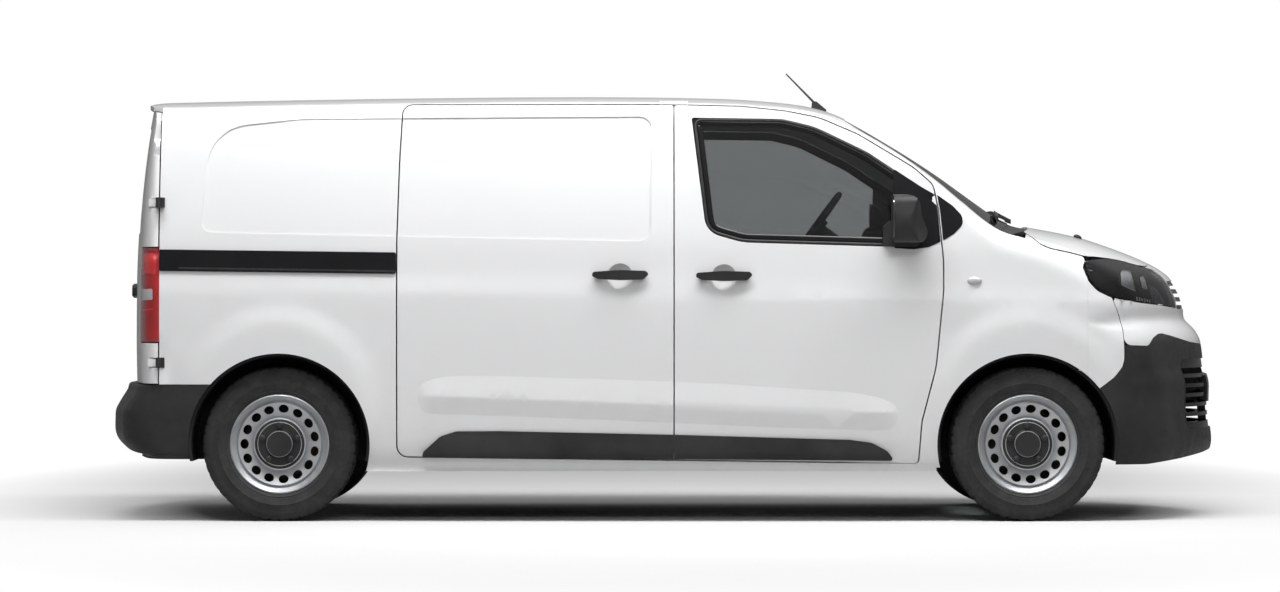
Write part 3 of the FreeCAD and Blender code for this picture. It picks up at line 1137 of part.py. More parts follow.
REPEATER = (FRONT_X - 234, COWL_Z - 248)
bulb_y = half_width(*REPEATER)
bulge = Part.makeSphere(1, Vector(0, 0, 0))
stretch = FreeCAD.Matrix()
stretch.scale(32, 12, 18)
bulge = bulge.transformGeometry(stretch)
bulge.translate(Vector(REPEATER[0], bulb_y - v.fit, REPEATER[1]))
repeater = bulge.cut(side_slab(REPEATER[0] - 60, REPEATER[0] + 60, REPEATER[1] - 40, REPEATER[1] + 40,
                               even(-v.fit), even(60), 5, 5))
node("side_repeaters", Part.makeCompound([repeater, mirrored(repeater)]))


# Pieces bound to the sheet

NAMES = [row[0] for row in SIZES]


def bound(text):
    """Expression with the sheet's names written out."""
    text = re.sub(r"\bFX\b", FX, re.sub(r"\bRX\b", RX, text))
    for name in NAMES:
        text = re.sub(r"(?<![.\w])%s\b" % name, "Sizes." + name, text)
    return text


def place_at(thing, x, y, z, rotation=None):
    thing.Placement = Placement(Vector(0, 0, 0), rotation or Rotation())
    for axis, text in zip("xyz", (x, y, z)):
        thing.setExpression(".Placement.Base.%s" % axis, bound(text))


def bound_box(name, x0, x1, y0, y1, z0, z1):
    thing = doc.addObject("Part::Box", name)
    for prop, a, b in (("Length", x0, x1), ("Width", y0, y1), ("Height", z0, z1)):
        thing.setExpression(prop, bound("(%s) - (%s)" % (b, a)))
    place_at(thing, x0, y0, z0)
    return thing


def bound_rod(name, axis, radius, low, high, a, b):
    """Cylinder along an axis from low to high; a and b are its other two coordinates."""
    thing = doc.addObject("Part::Cylinder", name)
    thing.setExpression("Radius", bound(radius))
    thing.setExpression("Height", bound("(%s) - (%s)" % (high, low)))
    if axis == "x":
        place_at(thing, low, a, b, Rotation(Vector(0, 1, 0), 90))
    elif axis == "y":
        place_at(thing, a, low, b, Rotation(Vector(1, 0, 0), -90))
    else:
        place_at(thing, a, b, low)
    return thing


def joined(label, things, kind="Part::MultiFuse"):
    if len(things) == 1:
        whole = things[0]
    else:
        whole = doc.addObject(kind, label)
        if kind == "Part::Compound":
            whole.Links = things
        else:
            whole.Shapes = things
    whole.Label = label
    NODES.append(whole)
    return whole


def less(name, base, tool):
    whole = doc.addObject("Part::Cut", name)
    whole.Base = base
    whole.Tool = tool
    return whole


# Floor, firewall and bulkhead
LOAD_FOOT = "(floor_top - floor_depth)"
RAIL_END = "RX - rear_overhang + bumper_depth + bumper_bow * ((sill_inner - 160) / 750) ^ 2 + 15"
floor = doc.addObject("Part::MultiFuse", "FloorUnion")
floor.Shapes = [
    bound_box("LoadFloor", "tail_line + 8", "bulkhead_x + bulkhead_depth", "-sill_inner - 78", "sill_inner + 78",
              LOAD_FOOT, "floor_top"),
    bound_box("CabFloor", "bulkhead_x", "firewall + 20", "-sill_inner + fit", "sill_inner - fit",
              "cab_floor - floor_depth", "cab_floor"),
    bound_box("Firewall", "firewall", "firewall + 20", "-sill_inner + 40", "sill_inner - 40", "cab_floor - 60",
              "belt_height + 30"),
    bound_box("RailLeft", RAIL_END, "bulkhead_x + 60", "sill_inner - 240", "sill_inner - 160",
              "cab_floor - 60", LOAD_FOOT),
    bound_box("RailRight", RAIL_END, "bulkhead_x + 60", "-sill_inner + 160", "-sill_inner + 240",
              "cab_floor - 60", LOAD_FOOT),
]
wells = doc.addObject("Part::MultiFuse", "Wells")
wells.Shapes = [
    bound_rod("WellRL", "y", "arch_radius + 1", "liner_rear - 1", "sill_inner + 300", "RX", "tyre_radius"),
    bound_rod("WellRR", "y", "arch_radius + 1", "-sill_inner - 300", "-liner_rear + 1", "RX", "tyre_radius"),
    bound_rod("WellFL", "y", "arch_radius + 1", "liner_front - 1", "sill_inner + 300", "FX", "tyre_radius"),
    bound_rod("WellFR", "y", "arch_radius + 1", "-sill_inner - 300", "-liner_front + 1", "FX", "tyre_radius"),
]
floor_pan = less("FloorPan", floor, wells)
floor_pan.Label = "floor_pan"
NODES.append(floor_pan)


def inner_outline(x, inset, z0, z1, count):
    left = [(half_width(x, z) - inset, z) for z in steps(z0, z1, count)]
    return left + [(-y, z) for y, z in reversed(left)]


bulkhead = prism(inner_outline(v.bulkhead_x, v.wall + 4, v.floor_top + v.fit, CANT - 40, 14), "YZ",
                 Vector(v.bulkhead_x, 0, 0), Vector(v.bulkhead_depth, 0, 0))
head = [(y, top_point(at_x(v.bulkhead_x), y, v.roof_depth + 3 * v.fit)[1])
        for y in steps(-v.cant_reach, v.cant_reach, 15)]
head = [(-v.cant_reach, CANT - 42)] + head + [(v.cant_reach, CANT - 42)]
bulkhead = bulkhead.fuse(prism(head, "YZ", Vector(v.bulkhead_x, 0, 0), Vector(v.bulkhead_depth, 0, 0)))
node("bulkhead", bulkhead)


# Arch liners
def liner(x, inner):
    outer_y = half_width(x, v.tyre_radius + v.arch_radius) - 34
    radius = v.arch_radius - v.fit
    ring = cylinder_y(x, v.tyre_radius, radius, inner, outer_y)
    ring = ring.cut(cylinder_y(x, v.tyre_radius, radius - v.arch_wall, inner + v.arch_wall, outer_y + 1))
    ring = ring.cut(box(x - 500, x + 500, 0, FAR, -200, v.sill_height - 8))
    return ring.cut(cylinder_y(x, v.tyre_radius, v.axle_radius + 8, 0, inner + 30))


rear_liner = liner(REAR_X, v.liner_rear)
front_liner = liner(FRONT_X, v.liner_front)
node("arch_liners", Part.makeCompound([rear_liner, mirrored(rear_liner), front_liner, mirrored(front_liner)]))

# Mechanical masses
joined("engine_block", [bound_box("Engine", "FX - 40", "FX + 540", "-liner_front + 160", "liner_front - 160",
                                  "skirt_height + 54 + fit", "belt_height - 240")])
LEG_END = "FX + front_overhang - skin - nose_bow * ((liner_front - 12) / 750) ^ 2 - 14"
subframe = [
    bound_box("CrossMember", "FX - 130", "FX + 90", "-liner_front + 12", "liner_front - 12", "skirt_height - 16",
              "skirt_height + 54"),
    bound_box("LegLeft", "firewall + 20 + fit", LEG_END, "liner_front - 100", "liner_front - 12",
              "skirt_height + 54", "skirt_height + 154"),
    bound_box("LegRight", "firewall + 20 + fit", LEG_END, "-liner_front + 12", "-liner_front + 100",
              "skirt_height + 54", "skirt_height + 154"),
    bound_box("ArmFrontLeft", "FX - 34", "FX + 34", "liner_front - 30", "track_front / 2 - steer_offset + 24",
              "tyre_radius - 106", "tyre_radius - 76 - fit"),
    bound_box("ArmFrontRight", "FX - 34", "FX + 34", "-track_front / 2 + steer_offset - 24", "-liner_front + 30",
              "tyre_radius - 106", "tyre_radius - 76 - fit"),
]
joined("front_subframe", subframe)
joined("fuel_tank", [bound_box("Tank", "RX + arch_radius + 150", "bulkhead_x - 100", "-sill_inner + 250", "-60",
                               "cab_floor - 160", "floor_top - floor_depth - fit")])
joined("exhaust", [
    bound_rod("Silencer", "x", "90", "RX + arch_radius + 100", "bulkhead_x - 160", "240",
              "floor_top - floor_depth - 90 - fit"),
    bound_rod("Pipe", "x", "26", "bulkhead_x - 170", "FX - 140", "240", "cab_floor - floor_depth - 34"),
])
joined("rear_axle", [
    bound_rod("AxleTube", "y", "axle_radius", "-track_rear / 2 - tyre_width / 2 + 78 + fit",
              "track_rear / 2 + tyre_width / 2 - 78 - fit", "RX", "tyre_radius"),
    bound_box("ArmLeft", "RX - 20", "RX + arch_radius + 120", "liner_rear - 90", "liner_rear - 40",
              "tyre_radius - 25", "cab_floor - 60 - fit"),
    bound_box("ArmRight", "RX - 20", "RX + arch_radius + 120", "-liner_rear + 40", "-liner_rear + 90",
              "tyre_radius - 25", "cab_floor - 60 - fit"),
])

# Cab fittings
dash = prism([(v.firewall - v.fit, BELT - 240), (v.firewall - v.fit, BELT - 20), (v.firewall - 120, BELT + 6, 40),
              (v.firewall - 330, BELT - 40, 60), (v.firewall - 380, BELT - 170, 40), (v.firewall - 250, BELT - 330, 60),
              (v.firewall - 60, BELT - 400, 40), (v.firewall - v.fit, BELT - 400)], "XZ",
             Vector(0, -742, 0), Vector(0, 1484, 0))
STEER_X = v.firewall - 623
STEER_Z = BELT + 106
STEER_LEAN = 54
column = Part.makeCylinder(30, 300, Vector(0, 0, -34 - v.fit - 300))
column.rotate(Vector(0, 0, 0), Vector(0, 1, 0), -STEER_LEAN)
column.translate(Vector(STEER_X, v.driver_y, STEER_Z))
node("dashboard", dash.fuse(column))


def seat(y0, y1):
    x = v.bulkhead_x + v.bulkhead_depth
    base = prism([(x + 120, v.cab_floor + v.fit), (x + 520, v.cab_floor + v.fit), (x + 500, v.cab_floor + 340),
                  (x + 130, v.cab_floor + 340)], "XZ", Vector(0, y0 + 30, 0), Vector(0, y1 - y0 - 60, 0))
    shape = prism([(x + 60, v.cab_floor + 330, 40), (x + 90, v.cab_floor + 300, 30), (x + 560, v.cab_floor + 320, 50),
                   (x + 560, v.cab_floor + 430, 60), (x + 240, v.cab_floor + 410, 50), (x + 130, v.cab_floor + 960, 40),
                   (x + 40, v.cab_floor + 960, 40)], "XZ", Vector(0, y0, 0), Vector(0, y1 - y0, 0))
    head = prism([(x + 44, v.cab_floor + 950), (x + 120, v.cab_floor + 950), (x + 104, v.cab_floor + 1130, 30),
                  (x + 40, v.cab_floor + 1130, 30)], "XZ", Vector(0, (y0 + y1) / 2 - 130, 0), Vector(0, 260, 0))
    return base.fuse(shape).fuse(head)


driver = seat(v.driver_y - 250, v.driver_y + 250)
bench = seat(-v.driver_y - 250, -v.driver_y + 350)
node("cab_seats", Part.makeCompound([driver, bench]))


# Wheels
def part_body(name, label=None):
    body = doc.addObject("PartDesign::Body", name)
    if label:
        body.Label = label
        NODES.append(body)
    return body


def origin_plane(body, role):
    return next(f for f in body.Origin.OriginFeatures if f.Role == role)


def sketch_on(body, role, name, points):
    """Closed polygon sketch on one of the body's origin planes."""
    sketch = body.newObject("Sketcher::SketchObject", name)
    sketch.AttachmentSupport = [(origin_plane(body, role), "")]
    sketch.MapMode = "FlatFace"
    n = len(points)
    for i in range(n):
        a, b = points[i], points[(i + 1) % n]
        sketch.addGeometry(Part.LineSegment(Vector(a[0], a[1], 0), Vector(b[0], b[1], 0)), False)
    for i in range(n):
        sketch.addConstraint(Sketcher.Constraint("Coincident", i, 2, (i + 1) % n, 1))
    for i, (a, b, texts) in enumerate([(p[0], p[1], p[2]) for p in points]):
        for kind, text in zip(("DistanceX", "DistanceY"), texts):
            value = a if kind == "DistanceX" else b
            if abs(value) < 1e-9:
                index = sketch.addConstraint(Sketcher.Constraint("PointOnObject", i, 1, -2 if kind == "DistanceX" else -1))
            else:
                index = sketch.addConstraint(Sketcher.Constraint(kind, -1, 1, i, 1, value))
                sketch.setExpression("Constraints[%d]" % index, bound(text))
    return sketch


def spun(body, name, points):
    """Revolution about the body's Y axis of an (x radius, y width) polygon."""
    sketch = sketch_on(body, "XY_Plane", name + "Sketch", points)
    turn = body.newObject("PartDesign::Revolution", name)
    turn.Profile = sketch
    turn.ReferenceAxis = (origin_plane(body, "Y_Axis"), [""])
    turn.Angle = 360
    sketch.Visibility = False
    return turn


def value_of(text):
    """Plain number of a sheet expression."""
    names = {name: getattr(v, name) for name in NAMES}
    total = 0.0
    for sign, factor, word, number in re.findall(r"([+-]?)\s*(?:([\d.]+)\s*\*\s*)?(?:([a-z_]+)|([\d.]+))", text):
        item = names[word] if word else float(number)
        if factor:
            item *= float(factor)
        total += -item if sign == "-" else item
    return total


def corners(rows):
    return [(value_of(a), value_of(b), (a, b)) for a, b in rows]


def wheel(name, x, y, outward):
    """Steel wheel with its tyre; outward is 1 on the left and -1 on the right."""
    turn = Rotation(Vector(0, 0, 1), 0 if outward > 0 else 180)
    rim = part_body("Rim" + name, "rim_" + name)
    profile = corners([
        ("0", "0.5*tyre_width - 78"), ("cap_radius", "0.5*tyre_width - 78"), ("vent_ring + 26", "0.5*tyre_width - 40"),
        ("rim_bead - 12", "0.5*tyre_width - 52"), ("rim_bead - rim_wall", "-0.5*tyre_width + 30"),
        ("rim_radius - 6", "-0.5*tyre_width + 12"), ("rim_radius", "-0.5*tyre_width + 16"),
        ("rim_bead", "-0.5*tyre_width + 34"), ("rim_bead", "0.5*tyre_width - 34"),
        ("rim_radius", "0.5*tyre_width - 16"), ("rim_radius - 6", "0.5*tyre_width - 12"),
        ("rim_bead - 12", "0.5*tyre_width - 40"), ("vent_ring + 26", "0.5*tyre_width - 29"),
        ("cap_radius + 6", "0.5*tyre_width - 58"), ("cap_radius + 4", "0.5*tyre_width - 30"),
        ("cap_radius - 14", "0.5*tyre_width - 22"), ("cap_centre + 4", "0.5*tyre_width - 26"),
        ("cap_centre", "0.5*tyre_width - 10"), ("0", "0.5*tyre_width - 8"),
    ])
    spun(rim, "RimSpin" + name, profile)
    doc.recompute()
    sketch = rim.newObject("Sketcher::SketchObject", "VentSketch" + name)
    sketch.AttachmentSupport = [(origin_plane(rim, "XZ_Plane"), "")]
    sketch.MapMode = "FlatFace"
    sketch.addGeometry(Part.Ellipse(Vector(v.vent_ring, v.vent_length / 2, 0),
                                    Vector(v.vent_ring + v.vent_height / 2, 0, 0), Vector(v.vent_ring, 0, 0)), False)
    vent = rim.newObject("PartDesign::Pocket", "Vent" + name)
    vent.Profile = sketch
    vent.Type = 1
    vent.SideType = 2
    doc.recompute()
    ring = rim.newObject("PartDesign::PolarPattern", "Vents" + name)
    ring.Originals = [vent]
    ring.Axis = (origin_plane(rim, "Y_Axis"), [""])
    ring.Angle = 360
    ring.setExpression("Occurrences", bound("vent_count"))
    rim.Tip = ring
    place_at(rim, x, y, "tyre_radius", turn)
    tyre = part_body("Tyre" + name, "tyre_" + name)
    spun(tyre, "TyreSpin" + name, corners([
        ("rim_bead + fit", "-0.5*tyre_width + 36"), ("rim_radius + 1", "-0.5*tyre_width + 15"),
        ("rim_radius + 16", "-0.5*tyre_width + 5"), ("rim_radius + 50", "-0.5*tyre_width"),
        ("tyre_radius - 38", "-0.5*tyre_width + 3"), ("tyre_radius - 14", "-0.5*tyre_width + 14"),
        ("tyre_radius - 4", "-0.5*tyre_width + 26"), ("tyre_radius", "-0.5*tyre_width + 52"),
        ("tyre_radius", "0.5*tyre_width - 52"), ("tyre_radius - 4", "0.5*tyre_width - 26"),
        ("tyre_radius - 14", "0.5*tyre_width - 14"), ("tyre_radius - 38", "0.5*tyre_width - 3"),
        ("rim_radius + 50", "0.5*tyre_width"), ("rim_radius + 16", "0.5*tyre_width - 5"),
        ("rim_radius + 1", "0.5*tyre_width - 15"), ("rim_bead + fit", "0.5*tyre_width - 36"),
    ]))
    place_at(tyre, x, y, "tyre_radius", turn)


wheel("front_left", "FX", "track_front / 2", 1)
wheel("front_right", "FX", "-track_front / 2", -1)
wheel("rear_left", "RX", "track_rear / 2", 1)
wheel("rear_right", "RX", "-track_rear / 2", -1)

for side, sign in (("left", ""), ("right", "-")):
    near = "%s(track_front / 2 - steer_offset)" % sign
    far = "%s(track_front / 2 + tyre_width / 2 - 78 - fit)" % sign
    low, high = (near, far) if not sign else (far, near)
    joined("knuckle_" + side, [
        bound_rod("Spindle" + side, "y", "34", low, high, "FX", "tyre_radius"),
        bound_box("Upright" + side, "FX - 34", "FX + 34", near + " - 24", near + " + 24",
                  "tyre_radius - 76", "tyre_radius + 130"),
    ])

# Steering wheel
steering = Part.makeTorus(v.steering_radius, v.steering_tube)
steering = steering.fuse(Part.makeCylinder(52, 40, Vector(0, 0, -34)))
for angle in (90, 210, 330):
    spoke = box(-16, 16, 0, v.steering_radius, -14, 4)
    spoke.rotate(Vector(0, 0, 0), Vector(0, 0, 1), angle)
    steering = steering.fuse(spoke)
steering.rotate(Vector(0, 0, 0), Vector(0, 1, 0), -STEER_LEAN)
steering.translate(Vector(STEER_X, v.driver_y, STEER_Z))
node("steering_wheel", steering)

doc.recompute()
os.makedirs("parts", exist_ok=True)
for thing in NODES:
    if "Invalid" in thing.State or "Error" in thing.State:
        raise SystemExit("%s did not compute" % thing.Label)
    if thing.Shape.isNull() or not thing.Shape.isValid():
        raise SystemExit("%s has no valid shape" % thing.Label)
    thing.Shape.exportStep("parts/%s.step" % thing.Label)
    print("%-22s %2d solids %9.1f cm3" % (thing.Label, len(thing.Shape.Solids), thing.Shape.Volume / 1000))
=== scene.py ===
# White panel van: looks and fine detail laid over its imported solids, in a plain studio

import json
import math

import bmesh
import bpy
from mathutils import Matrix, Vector
from mathutils.bvhtree import BVHTree
from mathutils.geometry import delaunay_2d_cdt

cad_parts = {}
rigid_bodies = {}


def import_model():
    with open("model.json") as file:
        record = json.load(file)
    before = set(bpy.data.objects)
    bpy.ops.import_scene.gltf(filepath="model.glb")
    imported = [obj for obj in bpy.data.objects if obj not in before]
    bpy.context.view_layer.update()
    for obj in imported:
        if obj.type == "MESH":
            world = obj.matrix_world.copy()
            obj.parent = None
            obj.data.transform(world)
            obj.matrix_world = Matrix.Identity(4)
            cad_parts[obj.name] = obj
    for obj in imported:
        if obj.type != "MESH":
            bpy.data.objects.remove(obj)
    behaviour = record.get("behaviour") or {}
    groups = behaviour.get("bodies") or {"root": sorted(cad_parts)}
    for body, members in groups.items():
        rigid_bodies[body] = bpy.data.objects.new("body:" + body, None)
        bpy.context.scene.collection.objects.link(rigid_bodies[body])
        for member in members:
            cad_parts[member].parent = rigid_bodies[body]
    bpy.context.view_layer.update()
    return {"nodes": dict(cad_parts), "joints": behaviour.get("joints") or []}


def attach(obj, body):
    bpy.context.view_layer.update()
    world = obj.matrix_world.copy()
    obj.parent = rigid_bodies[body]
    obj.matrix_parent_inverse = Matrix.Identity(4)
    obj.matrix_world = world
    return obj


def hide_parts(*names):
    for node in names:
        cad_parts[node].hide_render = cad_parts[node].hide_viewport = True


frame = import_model()
NODES = frame["nodes"]
WHEELS = {j["name"].removeprefix("spin_"): j for j in frame["joints"] if j["name"].startswith("spin_")}
SIDES = (("left", 1), ("right", -1))


# Shader tools

def rgba(color):
    return tuple(color) + (1,)


def scaled(color, by):
    return tuple(c * by for c in color)


class Shader:
    """Adds, sets and links the nodes of one material or world."""

    def __init__(self, owner, base, output):
        owner.use_nodes = True
        self.owner = owner
        self.tree = owner.node_tree
        self.base = self.tree.nodes[base]
        self.output = self.tree.nodes[output]

    def add(self, kind, **values):
        """New node; each value is an attribute of the node, or else the default of an input."""
        node = self.tree.nodes.new(kind)
        for key, value in values.items():
            if hasattr(node, key):
                setattr(node, key, value)
            else:
                node.inputs[key.replace("_", " ")].default_value = value
        return node

    def link(self, source, socket):
        self.tree.links.new(source, socket)

    def feed(self, socket, value):
        """Sets a socket to a number or a colour, or links it to another node's output."""
        if isinstance(value, tuple):
            socket.default_value = rgba(value)
        elif isinstance(value, (int, float)):
            socket.default_value = value
        else:
            self.link(value, socket)

    def set(self, **values):
        for key, value in values.items():
            self.base.inputs[key.replace("_", " ")].default_value = value

    def place(self):
        return self.add("ShaderNodeTexCoord").outputs["Object"]

    def height(self):
        split = self.add("ShaderNodeSeparateXYZ")
        self.link(self.place(), split.inputs[0])
        return split.outputs["Z"]

    def noise(self, scale, detail=4.0, rough=0.5):
        node = self.add("ShaderNodeTexNoise", Scale=scale, Detail=detail, Roughness=rough)
        self.link(self.place(), node.inputs["Vector"])
        return node.outputs["Fac"]

    def wave(self, direction, scale, distortion=0.0):
        node = self.add("ShaderNodeTexWave", bands_direction=direction, Scale=scale,
                        Distortion=distortion)
        self.link(self.place(), node.inputs["Vector"])
        return node.outputs["Fac"]

    def ramp(self, source, low, high):
        """Two colours, each with the place on the ramp where it starts: (place, colour)."""
        node = self.add("ShaderNodeValToRGB")
        for element, (at, color) in zip(node.color_ramp.elements, (low, high)):
            element.position = at
            element.color = rgba(color)
        self.link(source, node.inputs["Fac"])
        return node.outputs["Color"]

    def spread(self, source, lo, hi, low=0.0, high=1.0):
        """Maps lo..hi of the source to low..high."""
        node = self.add("ShaderNodeMapRange", From_Min=lo, From_Max=hi, To_Min=low, To_Max=high)
        self.link(source, node.inputs["Value"])
        return node.outputs["Result"]

    def times(self, a, b):
        node = self.add("ShaderNodeMath", operation="MULTIPLY")
        self.feed(node.inputs[0], a)
        self.feed(node.inputs[1], b)
        return node.outputs[0]

    def mix(self, share, a, b):
        node = self.add("ShaderNodeMix", data_type="RGBA")
        self.feed(node.inputs[0], share)
        self.feed(node.inputs[6], a)
        self.feed(node.inputs[7], b)
        return node.outputs[2]

    def layer(self, share, under, over):
        """One shader over another."""
        node = self.add("ShaderNodeMixShader")
        self.feed(node.inputs[0], share)
        self.link(under.outputs[0], node.inputs[1])
        self.link(over.outputs[0], node.inputs[2])
        return node

    def color(self, source):
        self.link(source, self.base.inputs["Base Color"])

    def rough(self, source):
        self.link(source, self.base.inputs["Roughness"])

    def bump(self, source, strength, distance):
        node = self.add("ShaderNodeBump", Strength=strength, Distance=distance)
        self.link(source, node.inputs["Height"])
        self.link(node.outputs["Normal"], self.base.inputs["Normal"])

    def finish(self, shader):
        self.link(shader.outputs[0], self.output.inputs["Surface"])


def surface(name):
    return Shader(bpy.data.materials.new(name), "Principled BSDF", "Material Output")


# Material kinds

def paint(name, base, dust=(0.62, 0.6, 0.57), dust_top=0.75, dust_full=0.22, dust_share=0.28):
    """Clear-coated paint with a thin, patchy film of road dust that grows towards the sills."""
    s = surface(name)
    low = s.spread(s.height(), dust_top, dust_full)
    film = s.times(s.times(low, s.spread(s.noise(9, 6, 0.65), 0.4, 0.75)), dust_share)
    tone = s.ramp(s.noise(1.4, 2), (0.3, scaled(base, 0.985)), (0.7, base))
    s.color(s.mix(film, tone, dust))
    s.rough(s.spread(film, 0, 0.3, 0.3, 0.5))
    s.set(Coat_Weight=0.85, Coat_Roughness=0.05, IOR=1.45)
    s.bump(s.noise(420, 2), 0.04, 0.0004)
    return s.owner


def plastic(name, base, rough, grain, depth, worn=0.021):
    """Moulded plastic with a grained face that is a little paler where it is worn."""
    s = surface(name)
    s.color(s.ramp(s.noise(3.5, 5, 0.6), (0.3, base), (0.72, tuple(c + worn for c in base))))
    s.rough(s.spread(s.noise(26, 4), 0.3, 0.7, rough - 0.06, rough + 0.08))
    s.set(IOR=1.4, Specular_IOR_Level=0.35)
    cell = s.add("ShaderNodeTexVoronoi", Scale=grain)
    s.link(s.place(), cell.inputs["Vector"])
    s.bump(cell.outputs["Distance"], depth, 0.0006)
    return s.owner


def metal(name, base, rough, metallic=1.0, rust=0.0):
    """Bare or silver-painted metal with cloudy tone, and rust spots if asked for."""
    s = surface(name)
    spots = s.noise(18, 8, 0.7)
    tone = s.ramp(s.noise(5, 5), (0.3, scaled(base, 0.82)), (0.7, base))
    if rust:
        tone = s.mix(s.spread(spots, 0.62 - rust, 0.8), tone, (0.16, 0.07, 0.03))
    s.color(tone)
    s.rough(s.spread(spots, 0.3, 0.75, rough, rough + 0.22))
    s.set(Metallic=metallic)
    s.bump(s.noise(240, 4, 0.6), 0.18, 0.0005)
    return s.owner


def rubber(name, base, rough, dust=(0.12, 0.115, 0.105)):
    s = surface(name)
    s.color(s.mix(s.spread(s.noise(14, 6, 0.7), 0.42, 0.8, 0, 0.22), base, dust))
    s.rough(s.spread(s.noise(60, 4), 0.3, 0.7, rough, rough + 0.15))
    s.bump(s.noise(700, 3), 0.25, 0.0004)
    return s.owner


def fabric(name, base, weave):
    """Woven cloth: two crossed sets of threads."""
    s = surface(name)
    cloth = s.times(s.wave("X", weave, 0.6), s.wave("Z", weave, 0.6))
    s.color(s.ramp(cloth, (0.0, scaled(base, 0.55)), (0.8, base)))
    s.set(Roughness=0.92, Sheen_Weight=0.35, Sheen_Roughness=0.5)
    s.bump(cloth, 0.5, 0.001)
    return s.owner


def clear(name, tint, opaque, ior=1.5):
    """Thin pane that lets tinted light straight through, with a gloss on top."""
    s = surface(name)
    film = s.noise(7, 5, 0.6)
    s.rough(s.spread(film, 0.3, 0.8, 0.0, 0.03))
    s.color(s.ramp(film, (0.3, scaled(tint, 0.9)), (0.8, tint)))
    s.set(Transmission_Weight=1.0, IOR=ior)
    through = s.add("ShaderNodeBsdfTransparent", Color=rgba(tint))
    shine = s.add("ShaderNodeBsdfGlossy", Roughness=0.02)
    fresnel = s.add("ShaderNodeFresnel", IOR=ior)
    s.finish(s.layer(opaque, s.layer(fresnel.outputs[0], through, shine), s.base))
    return s.owner


def lens(name, base, ribs):
    """Lamp plastic with fine ribs moulded behind its face."""
    s = surface(name)
    wave = s.wave("Z", ribs)
    s.color(s.ramp(wave, (0.1, scaled(base, 0.7)), (0.9, base)))
    s.rough(s.spread(s.noise(30, 3), 0.3, 0.7, 0.06, 0.14))
    s.set(IOR=1.5, Coat_Weight=1.0, Coat_Roughness=0.03, Transmission_Weight=0.25)
    s.bump(wave, 0.3, 0.0015)
    return s.owner


# Materials of the van

WHITE = paint("white_paint", (0.74, 0.745, 0.75))
BLACK = plastic("black_grained", (0.018, 0.018, 0.019), rough=0.46, grain=1100, depth=0.3)
GLOSSY = plastic("black_smooth", (0.009, 0.009, 0.010), rough=0.16, grain=90, depth=0.004, worn=0.0035)
GREY = plastic("grey_coat", (0.30, 0.31, 0.32), rough=0.55, grain=300, depth=0.2, worn=0.007)
HUB = plastic("hub_black", (0.020, 0.020, 0.021), rough=0.42, grain=1300, depth=0.2)
LINER = plastic("liner_felt", (0.014, 0.014, 0.015), rough=0.85, grain=260, depth=0.9, worn=0.007)
DASH = plastic("dash_skin", (0.03, 0.031, 0.034), rough=0.62, grain=700, depth=0.5, worn=0.007)
GLASS = clear("window_glass", (0.63, 0.64, 0.64), opaque=0.02)
SCREEN = clear("screen_glass", (0.74, 0.78, 0.77), opaque=0.06)
COVER = clear("lamp_cover", (0.96, 0.97, 0.98), opaque=0.03)
RED = lens("lamp_red", (0.52, 0.012, 0.018), ribs=70)
RED_BRIGHT = lens("lamp_red_bright", (0.86, 0.035, 0.04), ribs=240)
PALE = lens("lamp_clear", (0.72, 0.72, 0.74), ribs=70)
FROST = lens("frosted_lens", (0.62, 0.63, 0.65), ribs=160)
CHROME = metal("reflector", (0.86, 0.87, 0.88), rough=0.06)
BRIGHT = metal("bright_reflector", (0.93, 0.94, 0.95), rough=0.12, metallic=0.4)
SMOKE = metal("smoked_reflector", (0.36, 0.37, 0.39), rough=0.10, metallic=0.8)
MIRROR = metal("mirror_face", (0.80, 0.82, 0.84), rough=0.02)
SILVER = metal("wheel_silver", (0.60, 0.61, 0.63), rough=0.36, metallic=0.75)
STEEL = metal("dark_steel", (0.07, 0.07, 0.072), rough=0.5, metallic=0.6, rust=0.1)
RUBBER = rubber("tyre_rubber", (0.016, 0.016, 0.017), rough=0.62)
SEAL = rubber("seal_rubber", (0.012, 0.012, 0.013), rough=0.5)
CLOTH = fabric("seat_cloth", (0.06, 0.062, 0.068), weave=420)


def both(*stems):
    return [f"{stem}_{way}" for stem in stems for way, sign in SIDES]


DRESS = [
    (WHITE, ["roof_panel", "front_wings", "front_bumper", "slide_door", "bonnet"]
     + both("side_frame", "front_door", "rear_door")),
    (BLACK, ["scuttle", "front_bumper_lower", "rear_bumper", "front_carrier", "side_trim", "wipers",
             "antenna", "rear_door_handle", "door_hinges"] + both("mirror", "door_trim")),
    (GLOSSY, ["upper_grille", "lower_grille", "slide_rail_cover"]),
    (GLASS, both("door_glass")),
    (SCREEN, ["windscreen"]),
    (COVER, ["headlamps"]),
    (PALE, ["side_repeaters"]),
    (RED, ["tail_lamps"]),
    (SILVER, ["rim_" + tag for tag in WHEELS]),
    (STEEL, ["front_subframe", "exhaust", "rear_axle", "engine_block", "fuel_tank"] + both("knuckle")),
    (GREY, ["floor_pan", "bulkhead"]),
    (LINER, ["arch_liners"]),
    (DASH, ["dashboard", "steering_wheel"]),
    (CLOTH, ["cab_seats"]),
]
for material, names in DRESS:
    for name in names:
        mesh = NODES[name].data
        mesh.materials.clear()
        mesh.materials.append(material)
        for poly in mesh.polygons:
            poly.material_index = 0


# Mesh tools

def made(name, bm, material, body, crease=None, smooth=True):
    """Object from a mesh in the making; edges sharper than the crease angle in degrees stay sharp."""
    mesh = bpy.data.meshes.new(name)
    bm.to_mesh(mesh)
    bm.free()
    mesh.materials.append(material)
    for poly in mesh.polygons:
        poly.use_smooth = smooth
    if crease:
        mesh.set_sharp_from_angle(angle=math.radians(crease))
    obj = bpy.data.objects.new(name, mesh)
    bpy.context.scene.collection.objects.link(obj)
    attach(obj, body)
    return obj


